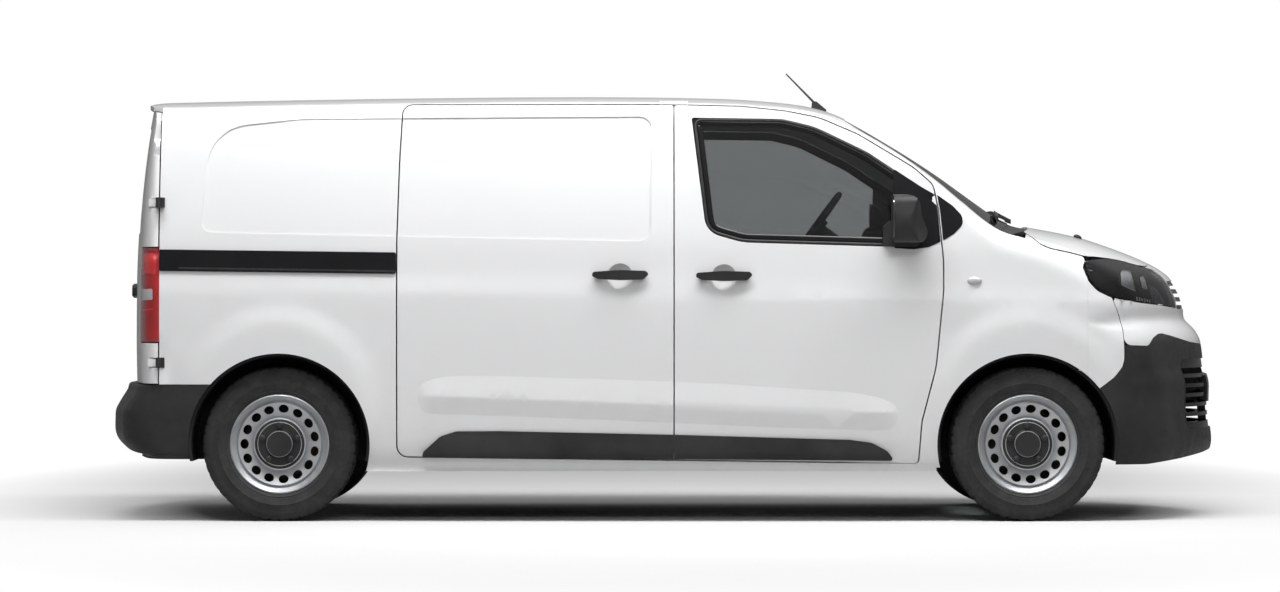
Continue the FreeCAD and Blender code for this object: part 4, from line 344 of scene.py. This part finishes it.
def lathe(profile, count, side, centre, relief=None):
    """Surface turned about a line parallel to Y, from points (radius, distance outward)."""
    bm = bmesh.new()
    rings = []
    for i in range(count):
        a = 2 * math.pi * i / count
        ring = []
        for k, (radius, out) in enumerate(profile):
            r = radius + (relief(k, i) if relief else 0)
            at = (centre[0] + r * math.cos(a), centre[1] + side * out, centre[2] + r * math.sin(a))
            ring.append(bm.verts.new(at))
        rings.append(ring)
    for i in range(count):
        a, b = rings[i], rings[(i + 1) % count]
        for k in range(len(profile) - 1):
            face = (a[k], a[k + 1], b[k + 1], b[k])
            bm.faces.new(face if side < 0 else face[::-1])
    return bm


def circle(bm, x, y, z, radius, count):
    return [bm.verts.new((x + radius * math.cos(a), y, z + radius * math.sin(a)))
            for a in (2 * math.pi * i / count for i in range(count))]


def cap(bm, tip, rings):
    """Dome from its tip out through rings of vertices, open at the last ring."""
    count = len(rings[0])
    for i in range(count):
        bm.faces.new((tip, rings[0][i], rings[0][(i + 1) % count]))
    for a, b in zip(rings, rings[1:]):
        for i in range(count):
            bm.faces.new((a[i], b[i], b[(i + 1) % count], a[(i + 1) % count]))


def slab(bm, front, back):
    """Closes two matching outlines of vertices into a solid plate."""
    bm.faces.new(front)
    bm.faces.new(list(reversed(back)))
    for i in range(len(front)):
        j = (i + 1) % len(front)
        bm.faces.new((front[j], front[i], back[i], back[j]))
    bmesh.ops.recalc_face_normals(bm, faces=bm.faces)


# Laying flat outlines on the solids

WAYS = {"left": (1, 1), "right": (1, -1), "front": (0, 1), "back": (0, -1), "top": (2, 1)}
OUTSIDE = 6.0
INSIDE = 0.45
TREES = {}


def tree_of(name):
    if name not in TREES:
        TREES[name] = BVHTree.FromObject(NODES[name], bpy.context.evaluated_depsgraph_get())
    return TREES[name]


def spot(way, a, b, depth):
    """Point whose two free coordinates are a and b, at a depth along the way's axis."""
    at = [a, b]
    at.insert(WAYS[way][0], depth)
    return Vector(at)


class Fit:
    """Projects flat outlines onto solids, given as {node: extra lift}, from outside or from inside."""

    def __init__(self, way, nodes, lowest=0.3, inner=False):
        self.way = way
        self.axis, self.sign = WAYS[way]
        self.nodes = [(tree_of(name), extra) for name, extra in nodes.items()]
        self.lowest = lowest
        self.last = None
        self.inner = inner

    def hit(self, a, b):
        """Outermost depth of the nodes at (a, b), measured outward, or None past their edges."""
        best = None
        start = spot(self.way, a, b, self.sign * (INSIDE if self.inner else OUTSIDE))
        aim = Vector([0, 0, 0])
        aim[self.axis] = self.sign if self.inner else -self.sign
        for tree, extra in self.nodes:
            found = tree.ray_cast(start, aim)[0]
            if found is None:
                continue
            out = found[self.axis] * self.sign + extra
            if out > self.lowest and (best is None or out > best):
                best = out
        return best

    def depth(self, a, b):
        """As hit, but past the edges it keeps to the depth found last."""
        found = self.hit(a, b)
        if found is not None:
            self.last = found
        return self.last


ARC_PARTS = 8
STRAIGHT_ON = 3.12
ARC_ROOM = 0.48
SHORTEST = 1e-5
SAME_PLACE = 1e-6
EDGE_ROOM = 0.6


def corners(radius, *points):
    return [(a, b, radius) for a, b in points]


def rounded(points, step):
    """Closed path through corners (a, b, radius), in short even steps."""
    n = len(points)
    path = []
    for i, (x, y, radius) in enumerate(points):
        p = Vector((x, y))
        a = Vector(points[i - 1][:2]) - p
        b = Vector(points[(i + 1) % n][:2]) - p
        room = ARC_ROOM * min(a.length, b.length)
        a.normalize()
        b.normalize()
        angle = a.angle(b)
        if radius <= 0 or angle > STRAIGHT_ON:
            path.append(p)
            continue
        cut = min(room, radius / math.tan(angle / 2))
        first, last = p + a * cut, p + b * cut
        for k in range(ARC_PARTS + 1):
            t = k / ARC_PARTS
            path.append(first * (1 - t) ** 2 + p * 2 * t * (1 - t) + last * t * t)
    out = []
    for i, p in enumerate(path):
        q = path[(i + 1) % len(path)]
        if (q - p).length < SHORTEST:
            continue
        m = max(1, round((q - p).length / step))
        out += [p.lerp(q, k / m) for k in range(m)]
    return out


def inward(path, by):
    n = len(path)
    area = sum(path[i].x * path[(i + 1) % n].y - path[(i + 1) % n].x * path[i].y for i in range(n))
    turn = 1 if area > 0 else -1
    out = []
    for i, p in enumerate(path):
        t = (path[(i + 1) % n] - path[i - 1]).normalized()
        out.append(p + Vector((-t.y, t.x)) * turn * by)
    return out


def band(name, path, section, fit, material, body):
    """Closed strip along a path; its section is a ring of (distance inward, lift)."""
    bm = bmesh.new()
    depths = [fit.depth(p.x, p.y) for p in path]
    grid = []
    for by, lift in section:
        grid.append([bm.verts.new(spot(fit.way, q.x, q.y, fit.sign * (d + lift)))
                     for q, d in zip(inward(path, by), depths)])
    n, m = len(path), len(section)
    for k in range(m):
        a, b = grid[k], grid[(k + 1) % m]
        for i in range(n):
            j = (i + 1) % n
            bm.faces.new((a[i], a[j], b[j], b[i]))
    bmesh.ops.recalc_face_normals(bm, faces=bm.faces)
    return made(name, bm, material, body)


def inside(path, p):
    hit = False
    for i, a in enumerate(path):
        b = path[(i + 1) % len(path)]
        if (a.y > p.y) != (b.y > p.y) and p.x < (b.x - a.x) * (p.y - a.y) / (b.y - a.y) + a.x:
            hit = not hit
    return hit


def patch(name, outline, fit, material, body, lift, thick, step, bulge=0.0):
    """Thin plate with a rounded outline that follows the solids.

    Its face stands the lift above them, and the bulge more in its middle. Its cells are about one step wide.
    """
    path = rounded(outline, step)
    n = len(path)
    points = list(path)
    lo = Vector((min(p.x for p in path), min(p.y for p in path)))
    hi = Vector((max(p.x for p in path), max(p.y for p in path)))
    a = lo.x + step
    while a < hi.x:
        b = lo.y + step
        while b < hi.y:
            p = Vector((a, b))
            if inside(path, p) and min((p - q).length for q in path) > EDGE_ROOM * step:
                points.append(p)
            b += step
        a += step
    done = delaunay_2d_cdt(points, [(i, (i + 1) % n) for i in range(n)], [], 1, SAME_PLACE)
    flat, faces = done[0], done[2]
    middle = (lo + hi) / 2
    bm = bmesh.new()
    front, back = [], []
    for p in flat:
        d = fit.depth(p.x, p.y)
        reach = max(abs(p.x - middle.x) / (hi.x - lo.x), abs(p.y - middle.y) / (hi.y - lo.y)) * 2
        up = lift + bulge * max(0.0, 1 - reach ** 3)
        front.append(bm.verts.new(spot(fit.way, p.x, p.y, fit.sign * (d + up))))
        back.append(bm.verts.new(spot(fit.way, p.x, p.y, fit.sign * (d + lift - thick))))
    edges = []
    for f in faces:
        bm.faces.new([front[i] for i in f])
        bm.faces.new([back[i] for i in reversed(f)])
        edges += zip(f, f[1:] + f[:1])
    known = set(edges)
    for i, j in edges:
        if (j, i) not in known:
            bm.faces.new((front[j], front[i], back[i], back[j]))
    bmesh.ops.recalc_face_normals(bm, faces=bm.faces)
    return made(name, bm, material, body, crease=40)


# Tyres with tread and moulded side walls: slots cross the shoulders and the middle rib

TYRE_RADIUS = 0.338
GROUND_GAP = 0.0004
TYRE_STEPS = 288
WALL = [(0.2090, 0.0840), (0.2130, 0.0905), (0.2200, 0.0925), (0.2290, 0.0985), (0.2320, 0.1000),
        (0.2340, 0.0988), (0.2480, 0.1040), (0.2640, 0.1060), (0.2665, 0.1072), (0.2695, 0.1060),
        (0.2860, 0.1048), (0.3010, 0.1020), (0.3060, 0.1022), (0.3110, 0.1008)]
TREAD = [(0.0975, -0.0185), (0.0935, -0.0085), (0.0860, -0.0030), (0.0740, -0.0008), (0.0560, 0.0),
         (0.0525, 0.0), (0.0518, -0.0072), (0.0440, -0.0072), (0.0433, 0.0), (0.0200, 0.0),
         (0.0193, -0.0072), (0.0105, -0.0072), (0.0098, 0.0), (0.0, 0.0)]
HALF_TYRE = WALL + [(TYRE_RADIUS + height - GROUND_GAP, width) for width, height in TREAD]
TYRE_PROFILE = HALF_TYRE + [(r, -width) for r, width in reversed(HALF_TYRE[:-1])]
FIRST_TREAD = len(WALL)
SHOULDER = range(FIRST_TREAD, FIRST_TREAD + 5)
MIDDLE_RIB = range(FIRST_TREAD + 8, FIRST_TREAD + 10)
SLOT_PITCH = 6
WALL_RIB = 0.0012
EDGE_SLOT = -0.004
SHOULDER_SLOT = -0.006
RIB_SLOT = -0.005


def tyre_relief(k, i):
    """Change of radius at profile point k and step i around; slots of the two halves are staggered."""
    last = len(TYRE_PROFILE) - 1
    row = min(k, last - k)
    far_half = k > last / 2
    if row in SHOULDER and (i + 2 * far_half) % SLOT_PITCH == 0:
        return SHOULDER_SLOT if row > FIRST_TREAD + 1 else EDGE_SLOT
    if row in MIDDLE_RIB and (i + 3 * far_half) % SLOT_PITCH == 0:
        return RIB_SLOT
    if row == FIRST_TREAD - 1 and i % SLOT_PITCH < SLOT_PITCH / 2:
        return WALL_RIB
    return 0.0


for tag, joint in WHEELS.items():
    x, y, z = joint["pos_m"]
    turned = lathe(TYRE_PROFILE, TYRE_STEPS, 1 if y > 0 else -1, (x, y, z), tyre_relief)
    tread = made("tread_" + tag, turned, RUBBER, joint["child"], crease=38)
    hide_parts("tyre_" + tag)


# Hub covers with nut domes, following the pressed wheel centre

HUB_RADII = (0.0, 0.012, 0.03, 0.044, 0.050, 0.0545, 0.058, 0.064, 0.074, 0.088, 0.100, 0.106, 0.1088)
HUB_LIFT = 0.0012
HUB_RADIUS = 0.1095
HUB_RIM = 0.004
HUB_STEPS = 72
PROBE_ANGLE = 0.21
PROBE_OFF = 0.0002
NUTS = 5
NUT_CIRCLE = 0.081
NUT_SEAT = 8
NUT_STEPS = 18
NUT_DOME = ((0.0155, -0.002), (0.0145, 0.007), (0.012, 0.0105), (0.007, 0.012))
NUT_TOP = 0.0124


def hub_cover(tag, joint):
    x, y, z = joint["pos_m"]
    side = 1 if y > 0 else -1
    fit = Fit("left" if y > 0 else "right", {"rim_" + tag: 0}, lowest=0.5)
    profile = []
    for r in HUB_RADII:
        found = fit.depth(x + (r + PROBE_OFF) * math.cos(PROBE_ANGLE), z + r * math.sin(PROBE_ANGLE))
        profile.append((r, found - abs(y) + HUB_LIFT))
    profile.append((HUB_RADIUS, profile[-1][1] - HUB_RIM))
    bm = bmesh.new()
    rings = [circle(bm, x, y + side * out, z, r, HUB_STEPS) for r, out in profile[1:]]
    cap(bm, bm.verts.new((x, y + side * profile[0][1], z)), rings)
    seat = profile[NUT_SEAT][1]
    for k in range(NUTS):
        turn = 2 * math.pi * k / NUTS + math.pi / 2
        nx = x + NUT_CIRCLE * math.cos(turn)
        nz = z + NUT_CIRCLE * math.sin(turn)
        dome = [circle(bm, nx, y + side * (seat + h), nz, r, NUT_STEPS) for r, h in NUT_DOME]
        cap(bm, bm.verts.new((nx, y + side * (seat + NUT_TOP), nz)), dome[::-1])
    bmesh.ops.recalc_face_normals(bm, faces=bm.faces)
    made("hub_cover_" + tag, bm, HUB, joint["child"], crease=40)


for tag, joint in WHEELS.items():
    hub_cover(tag, joint)


# Brake shields behind the wheel centres, as (radius, distance from the van's middle)

SHIELD = [(0.050, 0.738), (0.120, 0.738), (0.126, 0.742), (0.166, 0.742), (0.168, 0.738), (0.168, 0.730),
          (0.165, 0.730), (0.164, 0.738), (0.127, 0.738), (0.121, 0.734), (0.050, 0.734), (0.050, 0.738)]
SHIELD_STEPS = 48
for tag, joint in WHEELS.items():
    x, y, z = joint["pos_m"]
    shield = lathe(SHIELD, SHIELD_STEPS, 1 if y > 0 else -1, (x, 0, z))
    bmesh.ops.remove_doubles(shield, verts=shield.verts, dist=SAME_PLACE)
    bmesh.ops.recalc_face_normals(shield, faces=shield.faces)
    made("brake_shield_" + tag, shield, STEEL, joint["parent"])


# Seals and black borders of the cab windows, and the black corner trims beside the mirrors

WINDOW = [(0.117, 1.770, 0.045), (0.5135, 1.765, 0.2), (0.6535, 1.731, 0.3), (0.8835, 1.619, 0.4),
          (1.118, 1.461, 0.05), (1.118, 1.224, 0.04), (1.034, 1.200, 0.06), (0.336, 1.220, 0.3),
          (0.176, 1.266, 0.09)]
SEAL_SECTION = [(-0.003, -0.002), (0.0, 0.0045), (0.006, 0.0050), (0.011, 0.0012), (0.011, -0.001)]
BORDER_SECTION = [(0.0, 0.0002), (0.0, 0.0009), (0.026, 0.0009), (0.026, 0.0002)]
CORNER_TRIM = [(0.996, 1.546, 0.01), (1.114, 1.468, 0.3), (1.1790, 1.430, 0.003), (1.1895, 1.36, 0.1),
               (1.2015, 1.224, 0.008), (1.150, 1.200, 0.05), (1.083, 1.190, 0.08), (0.996, 1.196, 0.01)]
PILLAR_TRIM = [(1.1880, 1.430, 0.002), (1.2000, 1.36, 0.1), (1.2125, 1.228, 0.006),
               (1.2600, 1.258, 0.06), (1.3010, 1.300, 0.05), (1.2960, 1.340, 0.05), (1.2560, 1.382, 0.10)]
SEAL_INSET = 0.004
BORDER_INSET = 0.010
for way, sign in SIDES:
    door = "cab_door_" + way
    glass = Fit(way, {"door_glass_" + way: 0})
    path = inward(rounded(WINDOW, step=0.02), SEAL_INSET)
    border = inward(path, BORDER_INSET)
    band("window_seal_" + way, path, SEAL_SECTION, glass, SEAL, door)
    band("window_border_" + way, border, BORDER_SECTION, glass, GLOSSY, door)
    on_door = Fit(way, {"front_door_" + way: 0, "door_glass_" + way: 0.004})
    patch("corner_trim_" + way, CORNER_TRIM, on_door, GLOSSY, door,
          lift=0.0018, thick=0.003, step=0.018)
    ahead = Fit(way, {"side_frame_" + way: 0, "front_wings": 0})
    patch("pillar_trim_" + way, PILLAR_TRIM, ahead, GLOSSY, "van_body",
          lift=0.0018, thick=0.003, step=0.014)


# Inner trim cards of the cab doors, with a pocket

CARD = [(0.100, 1.150, 0.03), (1.100, 1.150, 0.03), (1.100, 0.560, 0.12), (0.960, 0.440, 0.10),
        (0.100, 0.440, 0.08)]
POCKET = [(0.240, 0.640, 0.04), (0.900, 0.640, 0.04), (0.860, 0.500, 0.05), (0.280, 0.500, 0.05)]
for way, sign in SIDES:
    door = "cab_door_" + way
    lining = Fit(way, {"front_door_" + way: -0.004}, inner=True)
    patch("door_card_" + way, CARD, lining, DASH, door,
          lift=-0.006, thick=0.006, step=0.05)
    patch("card_pocket_" + way, POCKET, lining, CLOTH, door,
          lift=-0.012, thick=0.007, step=0.04)


# Leaves that join the upper rear hinges to the body side

LEAF = corners(0.004, (-2.231, 1.3725), (-2.231, 1.4175), (-2.192, 1.4175), (-2.192, 1.3725))
for way, sign in SIDES:
    rear_side = Fit(way, {"side_frame_" + way: 0, "rear_door_" + way: -0.004})
    patch("hinge_leaf_" + way, LEAF, rear_side, BLACK, "van_body",
          lift=0.024, thick=0.026, step=0.012)


# Mirror glass: flat panes set in the rear of the mirror housings

MIRROR_REAR = 0.9885
MIRROR_FRONT = 0.9915
MIRROR_OUTLINE = [(0.934, 1.232, 0.025), (0.934, 1.404, 0.03), (1.084, 1.410, 0.035),
                  (1.078, 1.300, 0.1), (1.064, 1.232, 0.03)]
for way, sign in SIDES:
    path = rounded([(sign * y, z, radius) for y, z, radius in MIRROR_OUTLINE], step=0.02)
    bm = bmesh.new()
    rear = [bm.verts.new((MIRROR_REAR, p.x, p.y)) for p in path]
    front = [bm.verts.new((MIRROR_FRONT, p.x, p.y)) for p in path]
    slab(bm, rear, front)
    made("mirror_glass_" + way, bm, MIRROR, "cab_door_" + way, smooth=False)


# Painted corner of the bumper under the headlamp, carried back to the wing's front edge

CORNER_TOP = 0.965
CORNER_ROWS = 22
ROW_HEIGHT = 0.006
STRIDE = 0.001
WING_FROM = 1.94
WING_UNTIL = 2.06
BUMPER_UNTIL = 2.07
WING_TURNS_IN = 0.008
BUMPER_OUT = 0.6
BUMPER_FROM = 0.003
NARROWEST = 0.0052
WING_GAP = 0.0035
ON_BUMPER = 0.012
BELOW_LAMP = 0.003
LAMP_UNTIL = 1.0
LAMP_STRIDE = 0.008


class Corner:
    """Straight bridge from the wing's front edge to the bumper's rear edge, for patch to lie on."""

    def __init__(self, way):
        self.way = way
        self.sign = WAYS[way][1]
        self.bumper = Fit(way, {"front_bumper": 0})
        self.wing = Fit(way, {"front_wings": 0})
        self.lamp = Fit(way, {"headlamps": 0})
        self.rows = {}

    def row(self, z):
        """The wing's edge and the bumper's edge at one height, each as (x, depth)."""
        key = round(z, 3)
        if key not in self.rows:
            x, last = WING_FROM, self.wing.hit(WING_FROM, z)
            while x < WING_UNTIL:
                depth = self.wing.hit(x + STRIDE, z)
                if depth is None or abs(depth - last) > WING_TURNS_IN:
                    break
                x, last = x + STRIDE, depth
            edge = x
            while x < BUMPER_UNTIL and (self.bumper.hit(x, z) or 0) < BUMPER_OUT:
                x += STRIDE
            if x >= BUMPER_UNTIL:
                found = self.row(z - ROW_HEIGHT)[1]
            else:
                found = (x + BUMPER_FROM, self.bumper.hit(x + BUMPER_FROM, z) or last)
            self.rows[key] = ((edge, last), found)
        return self.rows[key]

    def depth(self, x, z):
        (wing_x, wing_depth), (bumper_x, bumper_depth) = self.row(z)
        if x >= bumper_x:
            return self.bumper.hit(x, z) or bumper_depth
        share = max(0.0, x - wing_x) / (bumper_x - wing_x)
        return wing_depth + (bumper_depth - wing_depth) * share

    def outline(self):
        """Under the lamp, down along the wing's edge and back up on the bumper."""
        heights = [CORNER_TOP - ROW_HEIGHT * i for i in range(CORNER_ROWS)]
        edges = [(z, self.row(z)[0][0], self.row(z)[1][0]) for z in heights]
        gaps = [(z, wing_x, bumper_x) for z, wing_x, bumper_x in edges if bumper_x - wing_x > NARROWEST]
        rear = [(wing_x + WING_GAP, z, 0) for z, wing_x, bumper_x in gaps]
        fore = [(bumper_x + ON_BUMPER, z, 0) for z, wing_x, bumper_x in gaps]
        top = []
        x = fore[0][0]
        while x > rear[0][0]:
            z = rear[0][1]
            while z < LAMP_UNTIL and self.lamp.hit(x, z + BELOW_LAMP) is None:
                z += STRIDE
            top.append((x, z, 0))
            x -= LAMP_STRIDE
        return top + rear + fore[:0:-1]


for way, sign in SIDES:
    corner = Corner(way)
    patch("bumper_corner_" + way, corner.outline(), corner, WHITE, "van_body",
          lift=0.0008, thick=0.0022, step=0.012)


# Headlamp insides: dark housing under the cover, frosted lenses, corner reflector, day light strip

HOUSING_DEPTH = 0.009
STRIPS = 6
STRIP_PITCH = 0.0135
STRIP_START = 2.071
STRIP_TOP = 0.9825
STRIP_BOTTOM = 0.9665
TOP_DROP = 0.0022
BOTTOM_DROP = 0.0016
STRIP_WIDTH = 0.008
STRIP_LEAN = 0.001


def lamp_housing():
    """Headlamp solids drawn inward, which leaves the cover standing clear of them."""
    bm = bmesh.new()
    bm.from_mesh(NODES["headlamps"].data)
    bmesh.ops.remove_doubles(bm, verts=bm.verts, dist=SHORTEST)
    bm.normal_update()
    for v in bm.verts:
        v.co = v.co - v.normal * HOUSING_DEPTH
    made("headlamp_housing", bm, GLOSSY, "van_body")


LAMP_PIECES = [
    ("low_beam", FROST, 0.0036,
     [(1.999, 1.036, 0.006), (2.003, 1.088, 0.01), (2.018, 1.101, 0.01), (2.056, 1.097, 0.01),
      (2.068, 1.010, 0.006)]),
    ("high_beam", FROST, 0.0024,
     corners(0.006, (2.100, 1.070), (2.122, 1.074), (2.135, 1.013), (2.105, 1.022))),
    ("corner_reflector", SMOKE, 0.0012,
     [(2.137, 1.044, 0.01), (2.188, 1.013, 0.03), (2.228, 0.951, 0.006), (2.157, 0.956, 0.006)]),
    ("beam_edge", BRIGHT, 0.0003,
     corners(0, (2.001, 1.033), (2.069, 1.005), (2.070, 1.013), (2.004, 1.043))),
]
lamp_housing()
for way, sign in SIDES:
    cover = Fit(way, {"headlamps": 0})
    for name, material, bulge, outline in LAMP_PIECES:
        patch(f"{name}_{way}", outline, cover, material, "van_body",
              lift=-0.0075, thick=0.002, step=0.010, bulge=bulge)
    for k in range(STRIPS):
        x = STRIP_START + STRIP_PITCH * k
        top = STRIP_TOP - TOP_DROP * k
        bottom = STRIP_BOTTOM - BOTTOM_DROP * k
        strip = corners(0, (x, top), (x + STRIP_WIDTH, top - STRIP_LEAN),
                        (x + STRIP_WIDTH + STRIP_LEAN, bottom), (x + STRIP_LEAN, bottom + STRIP_LEAN))
        patch(f"strip_{k}_{way}", strip, cover, BRIGHT, "van_body",
              lift=-0.0065, thick=0.002, step=0.008)


# Tail lamps: brake windows and clear windows on the side and rear faces, and a light line

BRAKE_SIDE = [(-2.284, 1.090, 0.012), (-2.230, 1.078, 0.010), (-2.228, 1.172, 0.012),
              (-2.283, 1.176, 0.012)]
BRAKE_REAR = [(0.815, 1.080), (0.893, 1.080), (0.893, 1.172), (0.815, 1.168)]
TURN_SIDE = corners(0.008, (-2.306, 0.967), (-2.243, 0.970), (-2.243, 1.018), (-2.306, 1.015))
TURN_REAR = [(0.812, 0.967), (0.897, 0.967), (0.897, 1.017), (0.812, 1.017)]
LINE_SIDE = corners(0.002, (-2.289, 0.921), (-2.241, 0.926), (-2.241, 0.932), (-2.289, 0.928))
for way, sign in SIDES:
    side_face = Fit(way, {"tail_lamps": 0})
    rear_face = Fit("back", {"tail_lamps": 0}, lowest=1.0)
    brake_rear = corners(0.012, *((sign * y, z) for y, z in BRAKE_REAR))
    turn_rear = corners(0.008, *((sign * y, z) for y, z in TURN_REAR))
    patch("brake_window_" + way, BRAKE_SIDE, side_face, RED_BRIGHT, "van_body",
          lift=0.0012, thick=0.003, step=0.012, bulge=0.002)
    patch("turn_window_" + way, TURN_SIDE, side_face, PALE, "van_body",
          lift=0.0015, thick=0.003, step=0.010, bulge=0.001)
    patch("lamp_line_" + way, LINE_SIDE, side_face, RED_BRIGHT, "van_body",
          lift=0.0012, thick=0.002, step=0.008)
    patch("brake_window_rear_" + way, brake_rear, rear_face, RED_BRIGHT, "van_body",
          lift=0.0012, thick=0.003, step=0.012, bulge=0.002)
    patch("turn_window_rear_" + way, turn_rear, rear_face, PALE, "van_body",
          lift=0.0015, thick=0.003, step=0.010, bulge=0.001)


# Bright bars of the upper grille

GRILLE_BARS = (1.030, 0.976)
BAR_HALF_WIDTH = 0.372
BAR_HALF_HEIGHT = 0.009
upper_grille = Fit("front", {"upper_grille": 0}, lowest=1.0)
for k, z in enumerate(GRILLE_BARS):
    w, h = BAR_HALF_WIDTH, BAR_HALF_HEIGHT
    bar = corners(0.004, (-w, z - h), (w, z - h), (w, z + h), (-w, z + h))
    patch(f"grille_bar_{k}", bar, upper_grille, CHROME, "van_body",
          lift=0.002, thick=0.004, step=0.03, bulge=0.004)


# Washer nozzles on the bonnet, wider at the rear

NOZZLE_REAR = 1.842
NOZZLE_FRONT = 1.878
HALF_REAR = 0.014
HALF_FRONT = 0.010
NOZZLES_AT = (-0.30, 0.30)
bonnet_top = Fit("top", {"bonnet": 0}, lowest=0.5)
for k, y in enumerate(NOZZLES_AT):
    nozzle = corners(0.008, (NOZZLE_REAR, y - HALF_REAR), (NOZZLE_FRONT, y - HALF_FRONT),
                     (NOZZLE_FRONT, y + HALF_FRONT), (NOZZLE_REAR, y + HALF_REAR))
    patch(f"washer_nozzle_{k}", nozzle, bonnet_top, BLACK, "bonnet_lid",
          lift=0.006, thick=0.007, step=0.008, bulge=0.010)


# Upright ribs behind the slats of the lower intake, following them at a distance

RIBS = 9
FIRST_RIB = -0.44
RIB_PITCH = 0.11
RIB_BOTTOM = 0.52
RIB_STEP = 0.008
RIB_POINTS = 36
RIB_GAP = 0.010
RIB_DEPTH = 0.09
RIB_HALF_THICK = 0.003
INTAKE_FRONT = 2.36


def intake_rib(k, slats):
    y = FIRST_RIB + RIB_PITCH * k
    heights = [RIB_BOTTOM + RIB_STEP * i for i in range(RIB_POINTS)]
    depths = [slats.depth(y, z) or INTAKE_FRONT for z in heights]
    near = [min(depths[max(0, i - 3):i + 4]) - RIB_GAP for i in range(len(depths))]
    rear = min(near) - RIB_DEPTH
    edge = list(zip(near, heights)) + [(rear, heights[-1]), (rear, heights[0])]
    bm = bmesh.new()
    front, back = ([bm.verts.new((x, y + off, z)) for x, z in edge]
                   for off in (-RIB_HALF_THICK, RIB_HALF_THICK))
    slab(bm, front, back)
    made(f"intake_rib_{k}", bm, BLACK, "van_body", smooth=False)


intake = Fit("front", {"lower_grille": 0, "front_bumper_lower": 0}, lowest=1.8)
for k in range(RIBS):
    intake_rib(k, intake)


# Painted shade: a thin matte black strip on the sliding door's rail cover stands in for the dark slot along
# it

RAIL_SLOT_SHADE = corners(0.002, (-2.130, 1.1045), (-1.184, 1.0905), (-1.184, 1.0985), (-2.130, 1.1125))
# The strip is painted shade of the slot's opening; the cover itself is not cut
patch("rail_slot_shade", RAIL_SLOT_SHADE, Fit("right", {"slide_rail_cover": 0}), SEAL, "van_body",
      lift=0.0006, thick=0.002, step=0.03)


# Camera: far off the right side, about a metre above the ground

CAMERA_PLACE = (-0.113, -20.907, 0.969)
FOCAL_LENGTH = 128.57
FILM_WIDTH = 36
FRAME_RISE = 0.0031
camera_data = bpy.data.cameras.new("camera")
camera_data.lens = FOCAL_LENGTH
camera_data.sensor_width = FILM_WIDTH
camera_data.shift_y = FRAME_RISE
camera_data.clip_end = 200
camera = bpy.data.objects.new("camera", camera_data)
camera.location = CAMERA_PLACE
camera.rotation_euler = (math.radians(90), 0, 0)
bpy.context.scene.collection.objects.link(camera)
bpy.context.scene.camera = camera


# Pale floor that keeps the shadow and runs out into white around the van

FLOOR_HALF = 60
FLOOR_PALE = (0.57, 0.57, 0.57)
FLOOR_DARKER = (0.55, 0.55, 0.55)
FLOOR_TO_LIGHT = (0.36, 0.36, 0.36)
WHITE_FROM = 2.3
WHITE_AT = 3.7


def floor_look():
    s = surface("studio_floor")
    seen = s.add("ShaderNodeLightPath").outputs["Is Camera Ray"]
    plain = s.ramp(s.noise(0.6, 3), (0.3, FLOOR_DARKER), (0.7, FLOOR_PALE))
    s.color(s.mix(seen, FLOOR_TO_LIGHT, plain))
    s.set(Roughness=0.9, Specular_IOR_Level=0.0)
    oval = s.add("ShaderNodeMapping", Scale=(1.0, 0.42, 1.0), Location=(0.0, -0.9, 0.0))
    s.link(s.place(), oval.inputs["Vector"])
    away = s.add("ShaderNodeVectorMath", operation="LENGTH")
    s.link(oval.outputs["Vector"], away.inputs[0])
    white = s.add("ShaderNodeEmission", Strength=1.0)
    share = s.times(seen, s.spread(away.outputs["Value"], WHITE_FROM, WHITE_AT))
    s.finish(s.layer(share, s.base, white))
    return s.owner


sheet = bmesh.new()
for x, y in ((-1, -1), (1, -1), (1, 1), (-1, 1)):
    sheet.verts.new((x * FLOOR_HALF, y * FLOOR_HALF, 0))
sheet.faces.new(sheet.verts)
floor_mesh = bpy.data.meshes.new("floor")
sheet.to_mesh(floor_mesh)
sheet.free()
floor_mesh.materials.append(floor_look())
floor = bpy.data.objects.new("floor", floor_mesh)
bpy.context.scene.collection.objects.link(floor)


# World: white to the camera, a soft grey sky for the light on the van

WHITE_LIGHT = (1, 1, 1, 1)
SKY_LOW = 0.15
SKY_HIGH = 0.46
SKY_HIGH_FROM = 0.7
sky = Shader(bpy.data.worlds.new("studio"), "Background", "World Output")
sky.set(Color=WHITE_LIGHT)
backdrop = sky.add("ShaderNodeBackground", Color=WHITE_LIGHT, Strength=1.0)
upward = sky.add("ShaderNodeSeparateXYZ")
sky.link(sky.add("ShaderNodeTexCoord").outputs["Generated"], upward.inputs[0])
brightness = sky.spread(upward.outputs["Z"], 0.0, SKY_HIGH_FROM, SKY_LOW, SKY_HIGH)
sky.link(brightness, sky.base.inputs["Strength"])
sky.finish(sky.layer(sky.add("ShaderNodeLightPath").outputs["Is Camera Ray"], sky.base, backdrop))
bpy.context.scene.world = sky.owner


# Soft lights

def area(name, place, target, size, power, glossy=True):
    data = bpy.data.lights.new(name, "AREA")
    data.shape = "RECTANGLE"
    data.size, data.size_y = size
    data.energy = power
    obj = bpy.data.objects.new(name, data)
    obj.location = place
    obj.rotation_euler = (Vector(target) - Vector(place)).to_track_quat("-Z", "Y").to_euler()
    obj.visible_glossy = glossy
    bpy.context.scene.collection.objects.link(obj)


area("overhead", place=(0.5, -2.6, 7.2), target=(0, -0.4, 0.4), size=(9, 2.0), power=900)
area("front_key", place=(1.5, -13, 7.0), target=(0, 0, 0.9), size=(5, 2.0), power=240, glossy=False)
area("back_fill", place=(-3, 11, 6.0), target=(0, 0, 0.9), size=(7, 3), power=40, glossy=False)
bpy.context.scene.view_settings.view_transform = "Standard"
